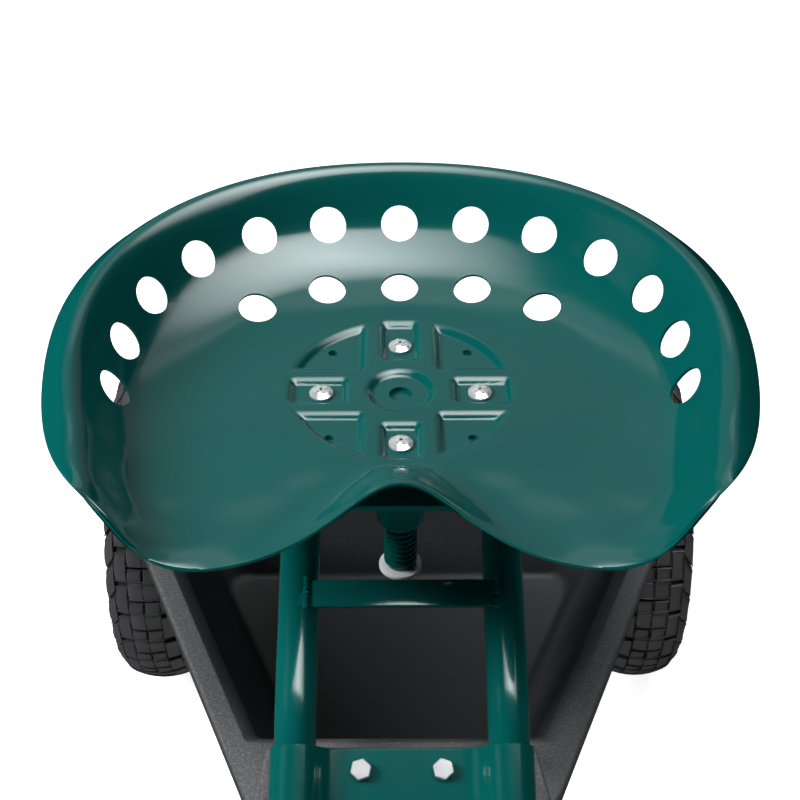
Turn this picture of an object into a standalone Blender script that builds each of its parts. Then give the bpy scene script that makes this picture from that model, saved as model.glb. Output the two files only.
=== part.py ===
"""Rolling garden seat: a pressed tractor-style seat that spins up and down on a coarse screw,
over a two-tube frame with a tool tray, four rubber-tyred wheels and a sliding steering handle.

Metres, +Z up. The seat faces -Y, and the origin is on the floor under the middle of the whole object.
Lengths "ahead" and "behind" are measured from the seat post along Y."""

import math

import bmesh
import bpy
from mathutils import Matrix, Vector

# Fits
GAP = 0.0003
RUNNING_GAP = 0.0005
HOLE_GAP = 0.0004

# Wheels
TYRE_RADIUS = 0.130
TYRE_WIDTH = 0.060
TREAD_WIDTH = 0.040
TREAD_DROP = 0.004
TYRE_SIDES = 32
RIM_RADIUS = 0.062
RIM_WIDTH = 0.046
RIM_FLANGE = 0.005
RIM_WALL = 0.004
HUB_RADIUS = 0.016
HUB_LENGTH = 0.062
BUSH_WALL = 0.003
AXLE_RADIUS = 0.006
AXLE_CAP_RADIUS = 0.011
AXLE_CAP_LENGTH = 0.009
AXLE_CAP_END = 0.002
TRACK = 0.372
REAR_AXLE_BEHIND = 0.247
FRONT_AXLE_AHEAD = 0.345

# Axle beams
BEAM_GAP_TO_HUB = 0.0005
REAR_BEAM_DEPTH = 0.030
REAR_BEAM_HEIGHT = 0.012
FRONT_BEAM_DEPTH = 0.036
FRONT_BEAM_HEIGHT = 0.030
BEAM_EDGE = 0.002

# Frame tubes
TUBE_RADIUS = 0.011
TUBE_SPACING = 0.1112
TUBE_FRONT_HEIGHT = 0.235
SLOPE_RUN = 0.2778
TUBE_FRONT_AHEAD = 0.385
LEVEL_AHEAD = 0.030
LEVEL_BEHIND = 0.140
REAR_SHOULDER_DROP = 0.0827
BEND_RADIUS = 0.050
BEND_STEPS = 4

# Seat plate, screw collar and crossbar
PLATE_THICKNESS = 0.004
PLATE_AHEAD = 0.044
PLATE_BEHIND = 0.045
PLATE_OVERHANG = 0.0015
PLATE_CORNER = 0.006
COLLAR_RADIUS = 0.0141
COLLAR_HEAD_RADIUS = 0.018
COLLAR_HEAD_HEIGHT = 0.004
COLLAR_DROP = 0.0477
COLLAR_CHAMFER = 0.0085
CROSSBAR_AHEAD = 0.0755
CROSSBAR_WIDTH = 0.014
CROSSBAR_THICKNESS = 0.003
CROSSBAR_LEVEL = 0.0085

# Seat pan
SEAT_HEIGHT = 0.444
SEAT_OVER_TUBES = 0.0613
SEAT_SHEET = 0.002
SEAT_STEPS = 52
RECESS_RADIUS = 0.0585
RECESS_EDGE = 0.004
RECESS_DEPTH = 0.003
CENTRE_HOLE_RADIUS = 0.0063
DRAIN_HOLE_RADIUS = 0.011
BACK_ROW_INSET = 0.0345
BACK_ROW_SIDE_COUNT = 6
BACK_ROW_STEP = 19.2
BACK_ROW_EASE = 0.55
INNER_ROW_INSET = 0.0715
INNER_ROW_SIDE_COUNT = 2
INNER_ROW_STEP = 26.3
INNER_ROW_EASE = 0.8
SMALL_HOLE_RADIUS = 0.00275
SMALL_HOLE_CIRCLE = 0.054
DRILL_LENGTH = 0.020

# Sections of the pan from the back round to the front: bearing in degrees (0 right, 90 back),
# reach of the lip, then the height above the flat at the four places between the flat and the lip.
# The reach and the heights are counted in divisions of this length.
SECTION_DIVISION_LENGTH = 0.001
SECTION_PLACES = (0.37, 0.65, 0.89, 1.0)
SEAT_SECTIONS = (
    (90, 165.0, 6.5, 24.5, 55.5, 45.0),
    (62, 172.0, 6.5, 24.0, 55.0, 44.5),
    (42, 180.0, 5.0, 21.0, 53.0, 43.0),
    (25, 185.5, 3.0, 16.0, 49.5, 40.0),
    (8, 187.5, 1.0, 9.0, 44.0, 35.5),
    (-8, 188.5, 0.0, 3.5, 36.5, 29.5),
    (-20, 191.0, -0.5, 2.5, 33.0, 25.5),
    (-29, 192.5, -1.0, 1.5, 28.0, 26.0),
    (-36, 191.5, -1.4, -0.8, 14.5, 26.5),
    (-41, 188.5, -1.7, -2.2, 5.0, 19.0),
    (-45, 183.0, -2.0, -3.2, -0.5, 4.5),
    (-49, 175.0, -2.2, -3.7, -3.6, -3.5),
    (-55, 162.0, -2.5, -4.2, -4.8, -7.0),
    (-66, 132.0, -1.5, -1.9, -1.3, -3.0),
    (-77, 106.0, 3.0, 6.6, 8.5, 7.5),
    (-90, 97.5, 8.0, 13.0, 16.8, 17.0),
)

# Seat flange, its screws and the lift screw
FLANGE_RADIUS = 0.055
FLANGE_THICKNESS = 0.006
SEAT_SCREW_CIRCLE = 0.0435
SEAT_SCREW_RADIUS = 0.003
SEAT_SCREW_HEAD_RADIUS = 0.0065
SEAT_SCREW_HEAD_HEIGHT = 0.0032
SEAT_SCREW_PAST_FLANGE = 0.002
THREAD_CREST_RADIUS = 0.0099
THREAD_ROOT_RADIUS = 0.0080
THREAD_PITCH = 0.004
THREAD_SIDES = 10
SCREW_HEAD_LENGTH = 0.030
SCREW_PAST_COLLAR = 0.033
SPIGOT_RADIUS = 0.006
SPIGOT_LENGTH = 0.0105
STOP_WASHER_RADIUS = 0.0129
STOP_WASHER_THICKNESS = 0.0025
SPLIT_PIN_RADIUS = 0.0013
SPLIT_PIN_LENGTH = 0.030

# Tube strap and its bolts, in the slope of the tubes
STRAP_AHEAD = 0.146
STRAP_WIDTH = 0.030
STRAP_THICKNESS = 0.002
STRAP_FLAT_LEVEL = -0.003
STRAP_LEAVE = math.radians(30)
STRAP_SKIRT = math.radians(10)
STRAP_BOLT_SPACING = 0.0426
STRAP_BOLT_DOWN = 0.0115
BOLT_RADIUS = 0.003
BOLT_FLATS = 0.010
BOLT_HEAD_HEIGHT = 0.004
NUT_HEIGHT = 0.005
BOLT_PAST_NUT = 0.002

# Tool tray
RIM_BELOW_STRAP = 0.021025
TRAY_DEPTH = 0.100
TRAY_WALL = 0.003
TRAY_FRONT_AHEAD = 0.1255
TRAY_BACK_BEHIND = 0.153
TRAY_FRONT_HALF = 0.0845
TRAY_BACK_HALF = 0.199
TRAY_LEAN = 0.050
TRAY_SIDE_RIM = 0.0115
TRAY_BACK_RIM = 0.022
TRAY_FRONT_LEDGE = 0.050
TRAY_SKIRT = 0.012
TRAY_CORNER = 0.030
MOUTH_CORNER = 0.005
MOUTH_CHAMFER = 0.0085
MOUTH_DROP = 0.007
TRAY_EDGE = 0.002
TRAY_CORNER_STEPS = 5
SADDLE_HALF = 0.077
SADDLE_LENGTH = 0.032
SADDLE_DEPTH = 0.032
HANGER_WIDTH = 0.017
HANGER_THICKNESS = 0.004
HANGER_BOLT_SPACING = 0.070

# Steering head
HEAD_PLATE_THICKNESS = 0.005
HEAD_PLATE_LENGTH = 0.070
SLEEVE_RADIUS = 0.017
SLEEVE_LENGTH = 0.072
KINGPIN_RADIUS = 0.008
KINGPIN_FOOT_RADIUS = 0.016
KINGPIN_FOOT_HEIGHT = 0.004
KINGPIN_PAST_NUT = 0.004
KINGPIN_NUT_FLATS = 0.024
KINGPIN_NUT_HEIGHT = 0.010
THRUST_WASHER_THICKNESS = 0.0025

# Steering handle, measured along the handle from its pivot
HANDLE_LEAN = math.radians(50)
HANDLE_RADIUS = 0.0125
HANDLE_WALL = 0.002
HANDLE_FOOT = 0.014
HANDLE_LENGTH = 0.400
PIVOT_FROM_BEAM = 0.044
BRACKET_THICKNESS = 0.004
BRACKET_PAST_PIVOT = 0.016
PIVOT_BOLT_RADIUS = 0.004
PIVOT_BOLT_FLATS = 0.013
PIVOT_BOLT_HEAD = 0.005
PIVOT_NUT_HEIGHT = 0.0065
SLIDER_START = 0.100
SLIDER_END = 0.540
CLAMP_LENGTH = 0.040
CLAMP_WALL = 0.004
CLAMP_TOP_GAP = 0.002
KNOB_STEM_RADIUS = 0.003
KNOB_RADIUS = 0.015
KNOB_LENGTH = 0.012
KNOB_NECK = 0.004
KNOB_LOBES = 8
GRIP_RADIUS = 0.015
GRIP_LENGTH = 0.130
GRIP_SOCKET_LENGTH = 0.045
GRIP_SOCKET_WALL = 0.004
GRIP_ROUNDING = 0.004

# Places that follow from the sizes above
AXLE_HEIGHT = TYRE_RADIUS * math.cos(math.pi / TYRE_SIDES)
TUBE_X = TUBE_SPACING / 2
TUBE_TOP_HEIGHT = SEAT_HEIGHT - SEAT_OVER_TUBES
TUBE_SLOPE = math.atan2(TUBE_TOP_HEIGHT - TUBE_FRONT_HEIGHT, SLOPE_RUN)
REAR_SHOULDER_HEIGHT = TUBE_TOP_HEIGHT - REAR_SHOULDER_DROP
BUSH_BORE = AXLE_RADIUS + GAP
BUSH_RADIUS = BUSH_BORE + BUSH_WALL
WHEEL_X = TRACK / 2
BEAM_HALF = WHEEL_X - HUB_LENGTH / 2 - BEAM_GAP_TO_HUB
BEAM_FOOT = AXLE_HEIGHT + AXLE_RADIUS + GAP
REAR_BEAM_TOP = BEAM_FOOT + REAR_BEAM_HEIGHT
FRONT_BEAM_TOP = BEAM_FOOT + FRONT_BEAM_HEIGHT
AXLE_HALF = WHEEL_X + HUB_LENGTH / 2 + RUNNING_GAP + AXLE_CAP_LENGTH - AXLE_CAP_END - GAP
PLATE_FOOT = TUBE_TOP_HEIGHT + TUBE_RADIUS + GAP
PLATE_TOP = PLATE_FOOT + PLATE_THICKNESS
COLLAR_BORE = THREAD_CREST_RADIUS + GAP
COLLAR_FOOT = PLATE_FOOT - COLLAR_DROP
SEAT_FLAT_RADIUS = RECESS_RADIUS + RECESS_EDGE
RECESS_TOP = SEAT_HEIGHT - RECESS_DEPTH
FLANGE_TOP = RECESS_TOP - SEAT_SHEET - GAP
FLANGE_FOOT = FLANGE_TOP - FLANGE_THICKNESS
SCREW_TOP = FLANGE_FOOT - GAP
SCREW_FOOT = COLLAR_FOOT - SCREW_PAST_COLLAR
STRAP_FALL = (STRAP_AHEAD - LEVEL_AHEAD) * math.tan(TUBE_SLOPE)
TRAY_RIM_HEIGHT = TUBE_TOP_HEIGHT - STRAP_FALL - RIM_BELOW_STRAP
TRAY_FLOOR_HEIGHT = TRAY_RIM_HEIGHT - TRAY_DEPTH
TRAY_FLARE = (TRAY_BACK_HALF - TRAY_FRONT_HALF) / (TRAY_FRONT_AHEAD + TRAY_BACK_BEHIND)
HANGER_BEHIND = TRAY_BACK_BEHIND + TRAY_BACK_RIM / 2
HANGER_FOOT = TRAY_RIM_HEIGHT + GAP
HEAD_PLATE_TOP = TUBE_FRONT_HEIGHT - TUBE_RADIUS - GAP
THRUST_FOOT = FRONT_BEAM_TOP + 2 * GAP + KINGPIN_FOOT_HEIGHT
SLEEVE_FOOT = THRUST_FOOT + THRUST_WASHER_THICKNESS + GAP
SLEEVE_TOP = SLEEVE_FOOT + SLEEVE_LENGTH
KINGPIN_NUT_FOOT = SLEEVE_TOP + GAP
BEAM_FRONT = FRONT_BEAM_DEPTH / 2
PIVOT_AHEAD = BEAM_FRONT + PIVOT_FROM_BEAM
PIVOT_HEIGHT = BEAM_FOOT + FRONT_BEAM_HEIGHT / 2
HANDLE_BORE = HANDLE_RADIUS - HANDLE_WALL
SLIDER_RADIUS = HANDLE_BORE - GAP
EAR_INNER = HANDLE_RADIUS + RUNNING_GAP
EAR_OUTER = EAR_INNER + BRACKET_THICKNESS
CLAMP_RADIUS = HANDLE_RADIUS + GAP + CLAMP_WALL
CLAMP_TOP = HANDLE_LENGTH - CLAMP_TOP_GAP
KNOB_PLACE = CLAMP_TOP - CLAMP_LENGTH / 2
GRIP_CENTRE = SLIDER_END + GAP + GRIP_RADIUS
REAR_REACH = REAR_AXLE_BEHIND + AXLE_HEIGHT
FRONT_REACH = FRONT_AXLE_AHEAD + PIVOT_AHEAD + GRIP_CENTRE * math.sin(HANDLE_LEAN) + GRIP_RADIUS
POST_Y = (FRONT_REACH - REAR_REACH) / 2

# Finishes: colour, roughness, metallic
GREEN_PAINT = ((0.006, 0.075, 0.066), 0.30, 0.0)
ZINC = ((0.62, 0.63, 0.64), 0.30, 1.0)
DARK_STEEL = ((0.10, 0.10, 0.10), 0.45, 1.0)
TRAY_PLASTIC = ((0.018, 0.019, 0.023), 0.60, 0.0)
BLACK_PAINT = ((0.012, 0.012, 0.013), 0.35, 0.0)
RUBBER = ((0.012, 0.012, 0.013), 0.80, 0.0)
NYLON = ((0.55, 0.55, 0.52), 0.50, 0.0)


def clear_scene():
    for thing in list(bpy.data.objects):
        bpy.data.objects.remove(thing, do_unlink=True)


def new_collection(name):
    collection = bpy.data.collections.new(name)
    bpy.context.scene.collection.children.link(collection)
    return collection


clear_scene()
PARTS = new_collection("rolling_garden_seat")
CUTTERS = new_collection("cutters")


def joint_empty(name, parent, location, lean=0.0):
    """An empty on a joint's axis, which carries the pieces that move with it."""
    empty = bpy.data.objects.new(name, None)
    empty.empty_display_size = 0.03
    empty.parent = parent
    empty.location = location
    empty.rotation_euler = (lean, 0, 0)
    PARTS.objects.link(empty)
    return empty


def place(thing, parent, location=(0, 0, 0), rotation=(0, 0, 0)):
    thing.parent = parent
    thing.location = location
    thing.rotation_euler = rotation
    return thing


def finish(thing, look):
    """Gives a piece its own material."""
    colour, roughness, metallic = look
    material = bpy.data.materials.new(thing.name + "_finish")
    material.use_nodes = True
    shader = material.node_tree.nodes["Principled BSDF"]
    shader.inputs["Base Color"].default_value = (*colour, 1)
    shader.inputs["Roughness"].default_value = roughness
    shader.inputs["Metallic"].default_value = metallic
    thing.data.materials.append(material)


def mesh_object(name, bm, look, round_piece=False):
    mesh = bpy.data.meshes.new(name)
    bm.to_mesh(mesh)
    bm.free()
    thing = bpy.data.objects.new(name, mesh)
    PARTS.objects.link(thing)
    finish(thing, look)
    if round_piece:
        mesh.shade_smooth()
        mesh.set_sharp_from_angle(angle=math.radians(35))
    return thing


def as_cutter(thing):
    """Moves a piece to the cutters, where it only shapes other pieces."""
    PARTS.objects.unlink(thing)
    CUTTERS.objects.link(thing)
    thing.hide_render = True
    thing.display_type = "WIRE"
    return thing


def boolean(thing, tool, operation):
    modifier = thing.modifiers.new(operation.lower() + "_" + tool.name, "BOOLEAN")
    modifier.operation = operation
    modifier.solver = "EXACT"
    modifier.object = tool


def cut(thing, tool):
    boolean(thing, tool, "DIFFERENCE")


def join(thing, tool):
    boolean(thing, tool, "UNION")


def solidify(thing, thickness, offset):
    modifier = thing.modifiers.new("wall", "SOLIDIFY")
    modifier.thickness = thickness
    modifier.offset = offset


def bevel(thing, width, segments=2):
    modifier = thing.modifiers.new("edges", "BEVEL")
    modifier.width = width
    modifier.segments = segments
    modifier.limit_method = "ANGLE"


def box(name, size, look, centre=(0, 0, 0)):
    """A box whose mesh is centred on centre."""
    bm = bmesh.new()
    bmesh.ops.create_cube(bm, size=1)
    bmesh.ops.scale(bm, vec=size, verts=bm.verts)
    bmesh.ops.translate(bm, vec=centre, verts=bm.verts)
    return mesh_object(name, bm, look)


def rod(name, radius, low, high, look, sides=16):
    """A round bar along Z from low to high."""
    bm = bmesh.new()
    bmesh.ops.create_cone(bm, cap_ends=True, segments=sides, radius1=radius, radius2=radius, depth=high - low)
    bmesh.ops.translate(bm, vec=(0, 0, (low + high) / 2), verts=bm.verts)
    return mesh_object(name, bm, look, round_piece=True)


def turned(name, profile, look, sides, closed=False, first_side=0.0):
    """A turned piece about Z. The profile is a list of (radius, height), down its outer side."""
    bm = bmesh.new()
    turn = (math.cos(first_side), math.sin(first_side))
    points = [bm.verts.new((radius * turn[0], radius * turn[1], height)) for radius, height in profile]
    for a, b in zip(points, points[1:]):
        bm.edges.new((a, b))
    if closed:
        bm.edges.new((points[-1], points[0]))
    thing = mesh_object(name, bm, look)
    screw = thing.modifiers.new("turn", "SCREW")
    screw.axis = "Z"
    screw.steps = sides
    screw.render_steps = sides
    screw.use_merge_vertices = True
    screw.merge_threshold = 0.00001
    screw.use_smooth_shade = True
    return thing


def ring(name, bore, radius, low, high, look, sides=24):
    """A plain sleeve or washer along Z."""
    profile = [(bore, high), (radius, high), (radius, low), (bore, low)]
    return turned(name, profile, look, sides, closed=True)


def circle(radius, sides, centre=(0, 0), first=0.0):
    return [
        (
            centre[0] + radius * math.cos(first + 2 * math.pi * i / sides),
            centre[1] + radius * math.sin(first + 2 * math.pi * i / sides),
        )
        for i in range(sides)
    ]


def rounded_corner(before, corner, after, radius, steps):
    """Points of the arc that rounds one corner of a flat path."""
    corner = Vector(corner)
    to_before = (Vector(before) - corner).normalized()
    to_after = (Vector(after) - corner).normalized()
    half = to_before.angle(to_after) / 2
    centre = corner + (to_before + to_after).normalized() * (radius / math.sin(half))
    start = corner + to_before * (radius / math.tan(half)) - centre
    end = corner + to_after * (radius / math.tan(half)) - centre
    span = start.angle(end)
    points = []
    for i in range(steps + 1):
        share = i / steps
        spoke = (start * math.sin((1 - share) * span) + end * math.sin(share * span)) / math.sin(span)
        points.append(tuple(centre + spoke))
    return points


def rounded_outline(corners, radius, steps):
    points = []
    for i, corner in enumerate(corners):
        points += rounded_corner(corners[i - 1], corner, corners[(i + 1) % len(corners)], radius, steps)
    return points


def rounded_path(corners, radius, steps):
    points = [tuple(corners[0])]
    for before, corner, after in zip(corners, corners[1:], corners[2:]):
        points += rounded_corner(before, corner, after, radius, steps)
    return points + [tuple(corners[-1])]


def plate(name, outline, holes, thickness, look):
    """A flat plate in XY, centred on its thickness, from closed outlines."""
    curve = bpy.data.curves.new(name, "CURVE")
    curve.dimensions = "2D"
    curve.fill_mode = "BOTH"
    curve.extrude = thickness / 2
    for points in [outline] + holes:
        spline = curve.splines.new("POLY")
        spline.points.add(len(points) - 1)
        for point, (x, y) in zip(spline.points, points):
            point.co = (x, y, 0, 1)
        spline.use_cyclic_u = True
    thing = bpy.data.objects.new(name, curve)
    PARTS.objects.link(thing)
    finish(thing, look)
    return thing


def pipe(name, points, radius, look, resolution=4):
    """A round tube along a path of straight runs and bends."""
    curve = bpy.data.curves.new(name, "CURVE")
    curve.dimensions = "3D"
    curve.bevel_depth = radius
    curve.bevel_resolution = resolution
    curve.use_fill_caps = True
    spline = curve.splines.new("POLY")
    spline.points.add(len(points) - 1)
    for point, place_of in zip(spline.points, points):
        point.co = (*place_of, 1)
    thing = bpy.data.objects.new(name, curve)
    PARTS.objects.link(thing)
    finish(thing, look)
    return thing


def meshed(thing, name):
    """The mesh of a curve piece, with its caps welded, in place of the curve."""
    bpy.context.view_layer.update()
    graph = bpy.context.evaluated_depsgraph_get()
    mesh = bpy.data.meshes.new_from_object(thing.evaluated_get(graph))
    bm = bmesh.new()
    bm.from_mesh(mesh)
    bmesh.ops.remove_doubles(bm, verts=bm.verts, dist=0.00001)
    bm.to_mesh(mesh)
    bm.free()
    solid = bpy.data.objects.new(name, mesh)
    solid.matrix_world = thing.matrix_world.copy()
    PARTS.objects.link(solid)
    bpy.data.objects.remove(thing, do_unlink=True)
    return solid


def hexagon(flats):
    return circle(flats / 2 / math.cos(math.pi / 6), 6, first=math.pi / 6)


def hex_bolt(name, flats, head_height, radius, length, look):
    """A hex bolt along Z: the head stands on Z 0, and the shank runs down."""
    bolt = rod(name, flats / 2 / math.cos(math.pi / 6), 0, head_height, look, sides=6)
    shank = as_cutter(rod(name + "_shank", radius, -length, head_height / 2, look, sides=12))
    shank.parent = bolt
    join(bolt, shank)
    return bolt


def hex_nut(name, flats, height, bore, look):
    """A hex nut that hangs down from Z 0."""
    nut = plate(name, hexagon(flats), [circle(bore, 16)], height, look)
    nut.location.z = -height / 2
    return nut


def eased(xs, ys, x):
    """A smooth curve through rising xs that never swings past its own points."""
    x = min(max(x, xs[0]), xs[-1])
    last = len(xs) - 2
    i = max(k for k in range(last + 1) if xs[k] <= x or k == 0)
    steps = [b - a for a, b in zip(xs, xs[1:])]
    slopes = [(b - a) / step for a, b, step in zip(ys, ys[1:], steps)]

    def tangent(k):
        if k == 0:
            return slopes[0]
        if k == last + 1:
            return slopes[last]
        before, after = slopes[k - 1], slopes[k]
        if before * after <= 0:
            return 0.0
        return 2 * before * after / (before + after)

    t = (x - xs[i]) / steps[i]
    start, end = tangent(i) * steps[i], tangent(i + 1) * steps[i]
    rise = ys[i + 1] - ys[i]
    return ys[i] + t * (start + t * (3 * rise - 2 * start - end + t * (start + end - 2 * rise)))


def section_value(bearing, column):
    """A length in the pan's sections at any bearing. Left mirrors right, and front and back are level."""
    folded = (bearing + 90) % 360 - 90
    if folded > 90:
        folded = 180 - folded
    rows = sorted(SEAT_SECTIONS)
    before = (-180 - rows[1][0], *rows[1][1:])
    after = (180 - rows[-2][0], *rows[-2][1:])
    rows = [before] + rows + [after]
    lengths = [row[column] * SECTION_DIVISION_LENGTH for row in rows]
    return eased([row[0] for row in rows], lengths, folded)


def seat_reach(bearing):
    return section_value(bearing, 1)


def seat_level(bearing, radius):
    """Height of the pan's upper face above its flat."""
    if radius <= RECESS_RADIUS:
        return -RECESS_DEPTH
    if radius <= SEAT_FLAT_RADIUS:
        return -RECESS_DEPTH * (SEAT_FLAT_RADIUS - radius) / RECESS_EDGE
    place_of = (radius - SEAT_FLAT_RADIUS) / (seat_reach(bearing) - SEAT_FLAT_RADIUS)
    heights = [section_value(bearing, 2 + i) for i in range(len(SECTION_PLACES))]
    return eased([0, *SECTION_PLACES], [0, *heights], place_of)


def seat_point(bearing, radius):
    turn = math.radians(bearing)
    height = SEAT_HEIGHT + seat_level(bearing, radius)
    return Vector((radius * math.cos(turn), radius * math.sin(turn), height))


def seat_normal(bearing, radius):
    small = 0.001
    along = seat_point(bearing, radius + small) - seat_point(bearing, radius - small)
    turn = math.degrees(small / radius)
    across = seat_point(bearing + turn, radius) - seat_point(bearing - turn, radius)
    return along.cross(across).normalized()


def drain_holes():
    """Bearing and radius of each hole: a long row round the back, and a short one inside it."""
    rows = (
        (BACK_ROW_SIDE_COUNT, BACK_ROW_STEP, BACK_ROW_EASE, BACK_ROW_INSET),
        (INNER_ROW_SIDE_COUNT, INNER_ROW_STEP, INNER_ROW_EASE, INNER_ROW_INSET),
    )
    holes = []
    for side_count, step, ease, inset in rows:
        for k in range(-side_count, side_count + 1):
            away = abs(k) * step - k * k * ease
            bearing = 90 + math.copysign(away, k)
            holes.append((bearing, seat_reach(bearing) - inset))
    return holes


def screw_places():
    return [
        (SEAT_SCREW_CIRCLE * math.cos(i * math.pi / 2), SEAT_SCREW_CIRCLE * math.sin(i * math.pi / 2))
        for i in range(4)
    ]


def seat_cutter():
    """All the pan's round holes as one cutter."""
    bm = bmesh.new()

    def drill(radius, centre, normal, sides):
        turn = normal.to_track_quat("Z", "Y").to_matrix().to_4x4()
        bmesh.ops.create_cone(
            bm,
            cap_ends=True,
            segments=sides,
            radius1=radius,
            radius2=radius,
            depth=DRILL_LENGTH,
            matrix=Matrix.Translation(centre) @ turn,
        )

    for bearing, radius in drain_holes():
        drill(DRAIN_HOLE_RADIUS, seat_point(bearing, radius), seat_normal(bearing, radius), 16)
    up = Vector((0, 0, 1))
    for x, y in screw_places():
        drill(SEAT_SCREW_RADIUS + HOLE_GAP, Vector((x, y, RECESS_TOP)), up, 12)
    for i in range(4):
        drill(SMALL_HOLE_RADIUS, seat_point(45 + 90 * i, SMALL_HOLE_CIRCLE), up, 10)
    return as_cutter(mesh_object("seat_holes", bm, GREEN_PAINT))


def seat_pan(seat):
    """The pressed pan: rings lofted from the centre hole out to the lip, then given the sheet's thickness."""
    bm = bmesh.new()
    inner = [CENTRE_HOLE_RADIUS, RECESS_RADIUS / 2, RECESS_RADIUS, SEAT_FLAT_RADIUS]
    outer = [0.18, 0.37, 0.65, 0.77, 0.84, 0.89, 0.95, 1.0]
    rings = []
    for k in range(len(inner) + len(outer)):
        points = []
        for i in range(SEAT_STEPS):
            bearing = 360 * i / SEAT_STEPS - 90
            if k < len(inner):
                radius = inner[k]
            else:
                radius = SEAT_FLAT_RADIUS + outer[k - len(inner)] * (seat_reach(bearing) - SEAT_FLAT_RADIUS)
            points.append(bm.verts.new(seat_point(bearing, radius)))
        rings.append(points)
    for inside, outside in zip(rings, rings[1:]):
        for i in range(SEAT_STEPS):
            j = (i + 1) % SEAT_STEPS
            bm.faces.new((inside[i], outside[i], outside[j], inside[j]))
    pan = mesh_object("seat_pan", bm, GREEN_PAINT, round_piece=True)
    solidify(pan, SEAT_SHEET, -1)
    cut(pan, place(seat_cutter(), seat))
    return place(pan, seat)


def seat_screws(seat):
    head = SEAT_SCREW_HEAD_RADIUS
    foot = RECESS_TOP + GAP
    top = foot + SEAT_SCREW_HEAD_HEIGHT
    end = FLANGE_FOOT - SEAT_SCREW_PAST_FLANGE
    profile = [
        (0, top),
        (head * 0.55, top - SEAT_SCREW_HEAD_HEIGHT * 0.12),
        (head * 0.9, top - SEAT_SCREW_HEAD_HEIGHT * 0.45),
        (head, foot),
        (SEAT_SCREW_RADIUS, foot),
        (SEAT_SCREW_RADIUS, end),
        (0, end),
    ]
    for side, (x, y) in zip(("right", "back", "left", "front"), screw_places()):
        place(turned("seat_screw_" + side, profile, ZINC, 16), seat, (x, y, 0))


def seat_flange(seat):
    holes = [circle(SEAT_SCREW_RADIUS + HOLE_GAP, 12, centre) for centre in screw_places()]
    flange = plate("seat_flange", circle(FLANGE_RADIUS, 28), holes, FLANGE_THICKNESS, GREEN_PAINT)
    place(flange, seat, (0, 0, (FLANGE_TOP + FLANGE_FOOT) / 2))


def thread_rows(low, high):
    """Turns up from the foot, and radius, of each row of the thread: root, then both edges of the crest."""
    count = math.ceil((high - low) / THREAD_PITCH) + 1
    shape = ((0.0, THREAD_ROOT_RADIUS), (0.4, THREAD_CREST_RADIUS), (0.6, THREAD_CREST_RADIUS))
    return [(turn + share, radius) for turn in range(-1, count) for share, radius in shape]


def lift_screw(seat):
    """The seat post: a loft whose rows climb one pitch in each turn, with plain ends."""
    low, high = SCREW_FOOT, SCREW_TOP - SCREW_HEAD_LENGTH
    rows = thread_rows(low, high)
    bm = bmesh.new()

    def corner(row, i):
        turns, radius = rows[row]
        height = low + (turns + i / THREAD_SIDES) * THREAD_PITCH
        if height <= low or height >= high:
            radius = THREAD_ROOT_RADIUS
            height = min(max(height, low), high)
        turn = 2 * math.pi * i / THREAD_SIDES
        return bm.verts.new((radius * math.cos(turn), radius * math.sin(turn), height))

    grid = [[corner(row, i) for i in range(THREAD_SIDES + 1)] for row in range(len(rows))]
    for lower, upper in zip(grid, grid[1:]):
        for i in range(THREAD_SIDES):
            bm.faces.new((lower[i], lower[i + 1], upper[i + 1], upper[i]))
    bmesh.ops.remove_doubles(bm, verts=bm.verts, dist=0.00001)
    bmesh.ops.holes_fill(bm, edges=bm.edges, sides=THREAD_SIDES)
    bmesh.ops.recalc_face_normals(bm, faces=bm.faces)
    screw = mesh_object("lift_screw", bm, GREEN_PAINT)
    overlap = 0.002
    shank = (THREAD_CREST_RADIUS + THREAD_ROOT_RADIUS) / 2
    head = as_cutter(rod("screw_head", shank, high - overlap, SCREW_TOP, GREEN_PAINT, 24))
    spigot = as_cutter(rod("screw_spigot", SPIGOT_RADIUS, low - SPIGOT_LENGTH, low + overlap, GREEN_PAINT))
    reach = SPLIT_PIN_LENGTH / 2
    hole = as_cutter(rod("pin_hole", SPLIT_PIN_RADIUS + GAP, -reach, reach, GREEN_PAINT, 12))
    place(hole, seat, (0, 0, split_pin_height()), (0, math.pi / 2, 0))
    for tool in (head, spigot):
        join(screw, place(tool, seat))
    cut(screw, hole)
    return place(screw, seat)


def stop_washer_foot():
    return SCREW_FOOT - GAP - STOP_WASHER_THICKNESS


def split_pin_height():
    return stop_washer_foot() - GAP - SPLIT_PIN_RADIUS


def screw_end(lift, seat):
    foot = stop_washer_foot()
    bore = SPIGOT_RADIUS + GAP
    washer = ring("stop_washer", bore, STOP_WASHER_RADIUS, foot, foot + STOP_WASHER_THICKNESS, ZINC, 20)
    place(washer, lift)
    half = SPLIT_PIN_LENGTH / 2
    pin = rod("split_pin", SPLIT_PIN_RADIUS, -half, half, ZINC, 10)
    place(pin, seat, (0, 0, split_pin_height()), (0, math.pi / 2, 0))


def tube_corners(x):
    """Corners of a frame tube's centre line, front to back: head, slope, level run, rear leg."""
    return [
        Vector((x, -TUBE_FRONT_AHEAD, TUBE_FRONT_HEIGHT)),
        Vector((x, -LEVEL_AHEAD - SLOPE_RUN, TUBE_FRONT_HEIGHT)),
        Vector((x, -LEVEL_AHEAD, TUBE_TOP_HEIGHT)),
        Vector((x, LEVEL_BEHIND, TUBE_TOP_HEIGHT)),
        Vector((x, REAR_AXLE_BEHIND, REAR_SHOULDER_HEIGHT)),
        Vector((x, REAR_AXLE_BEHIND, REAR_BEAM_TOP + GAP)),
    ]


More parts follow.
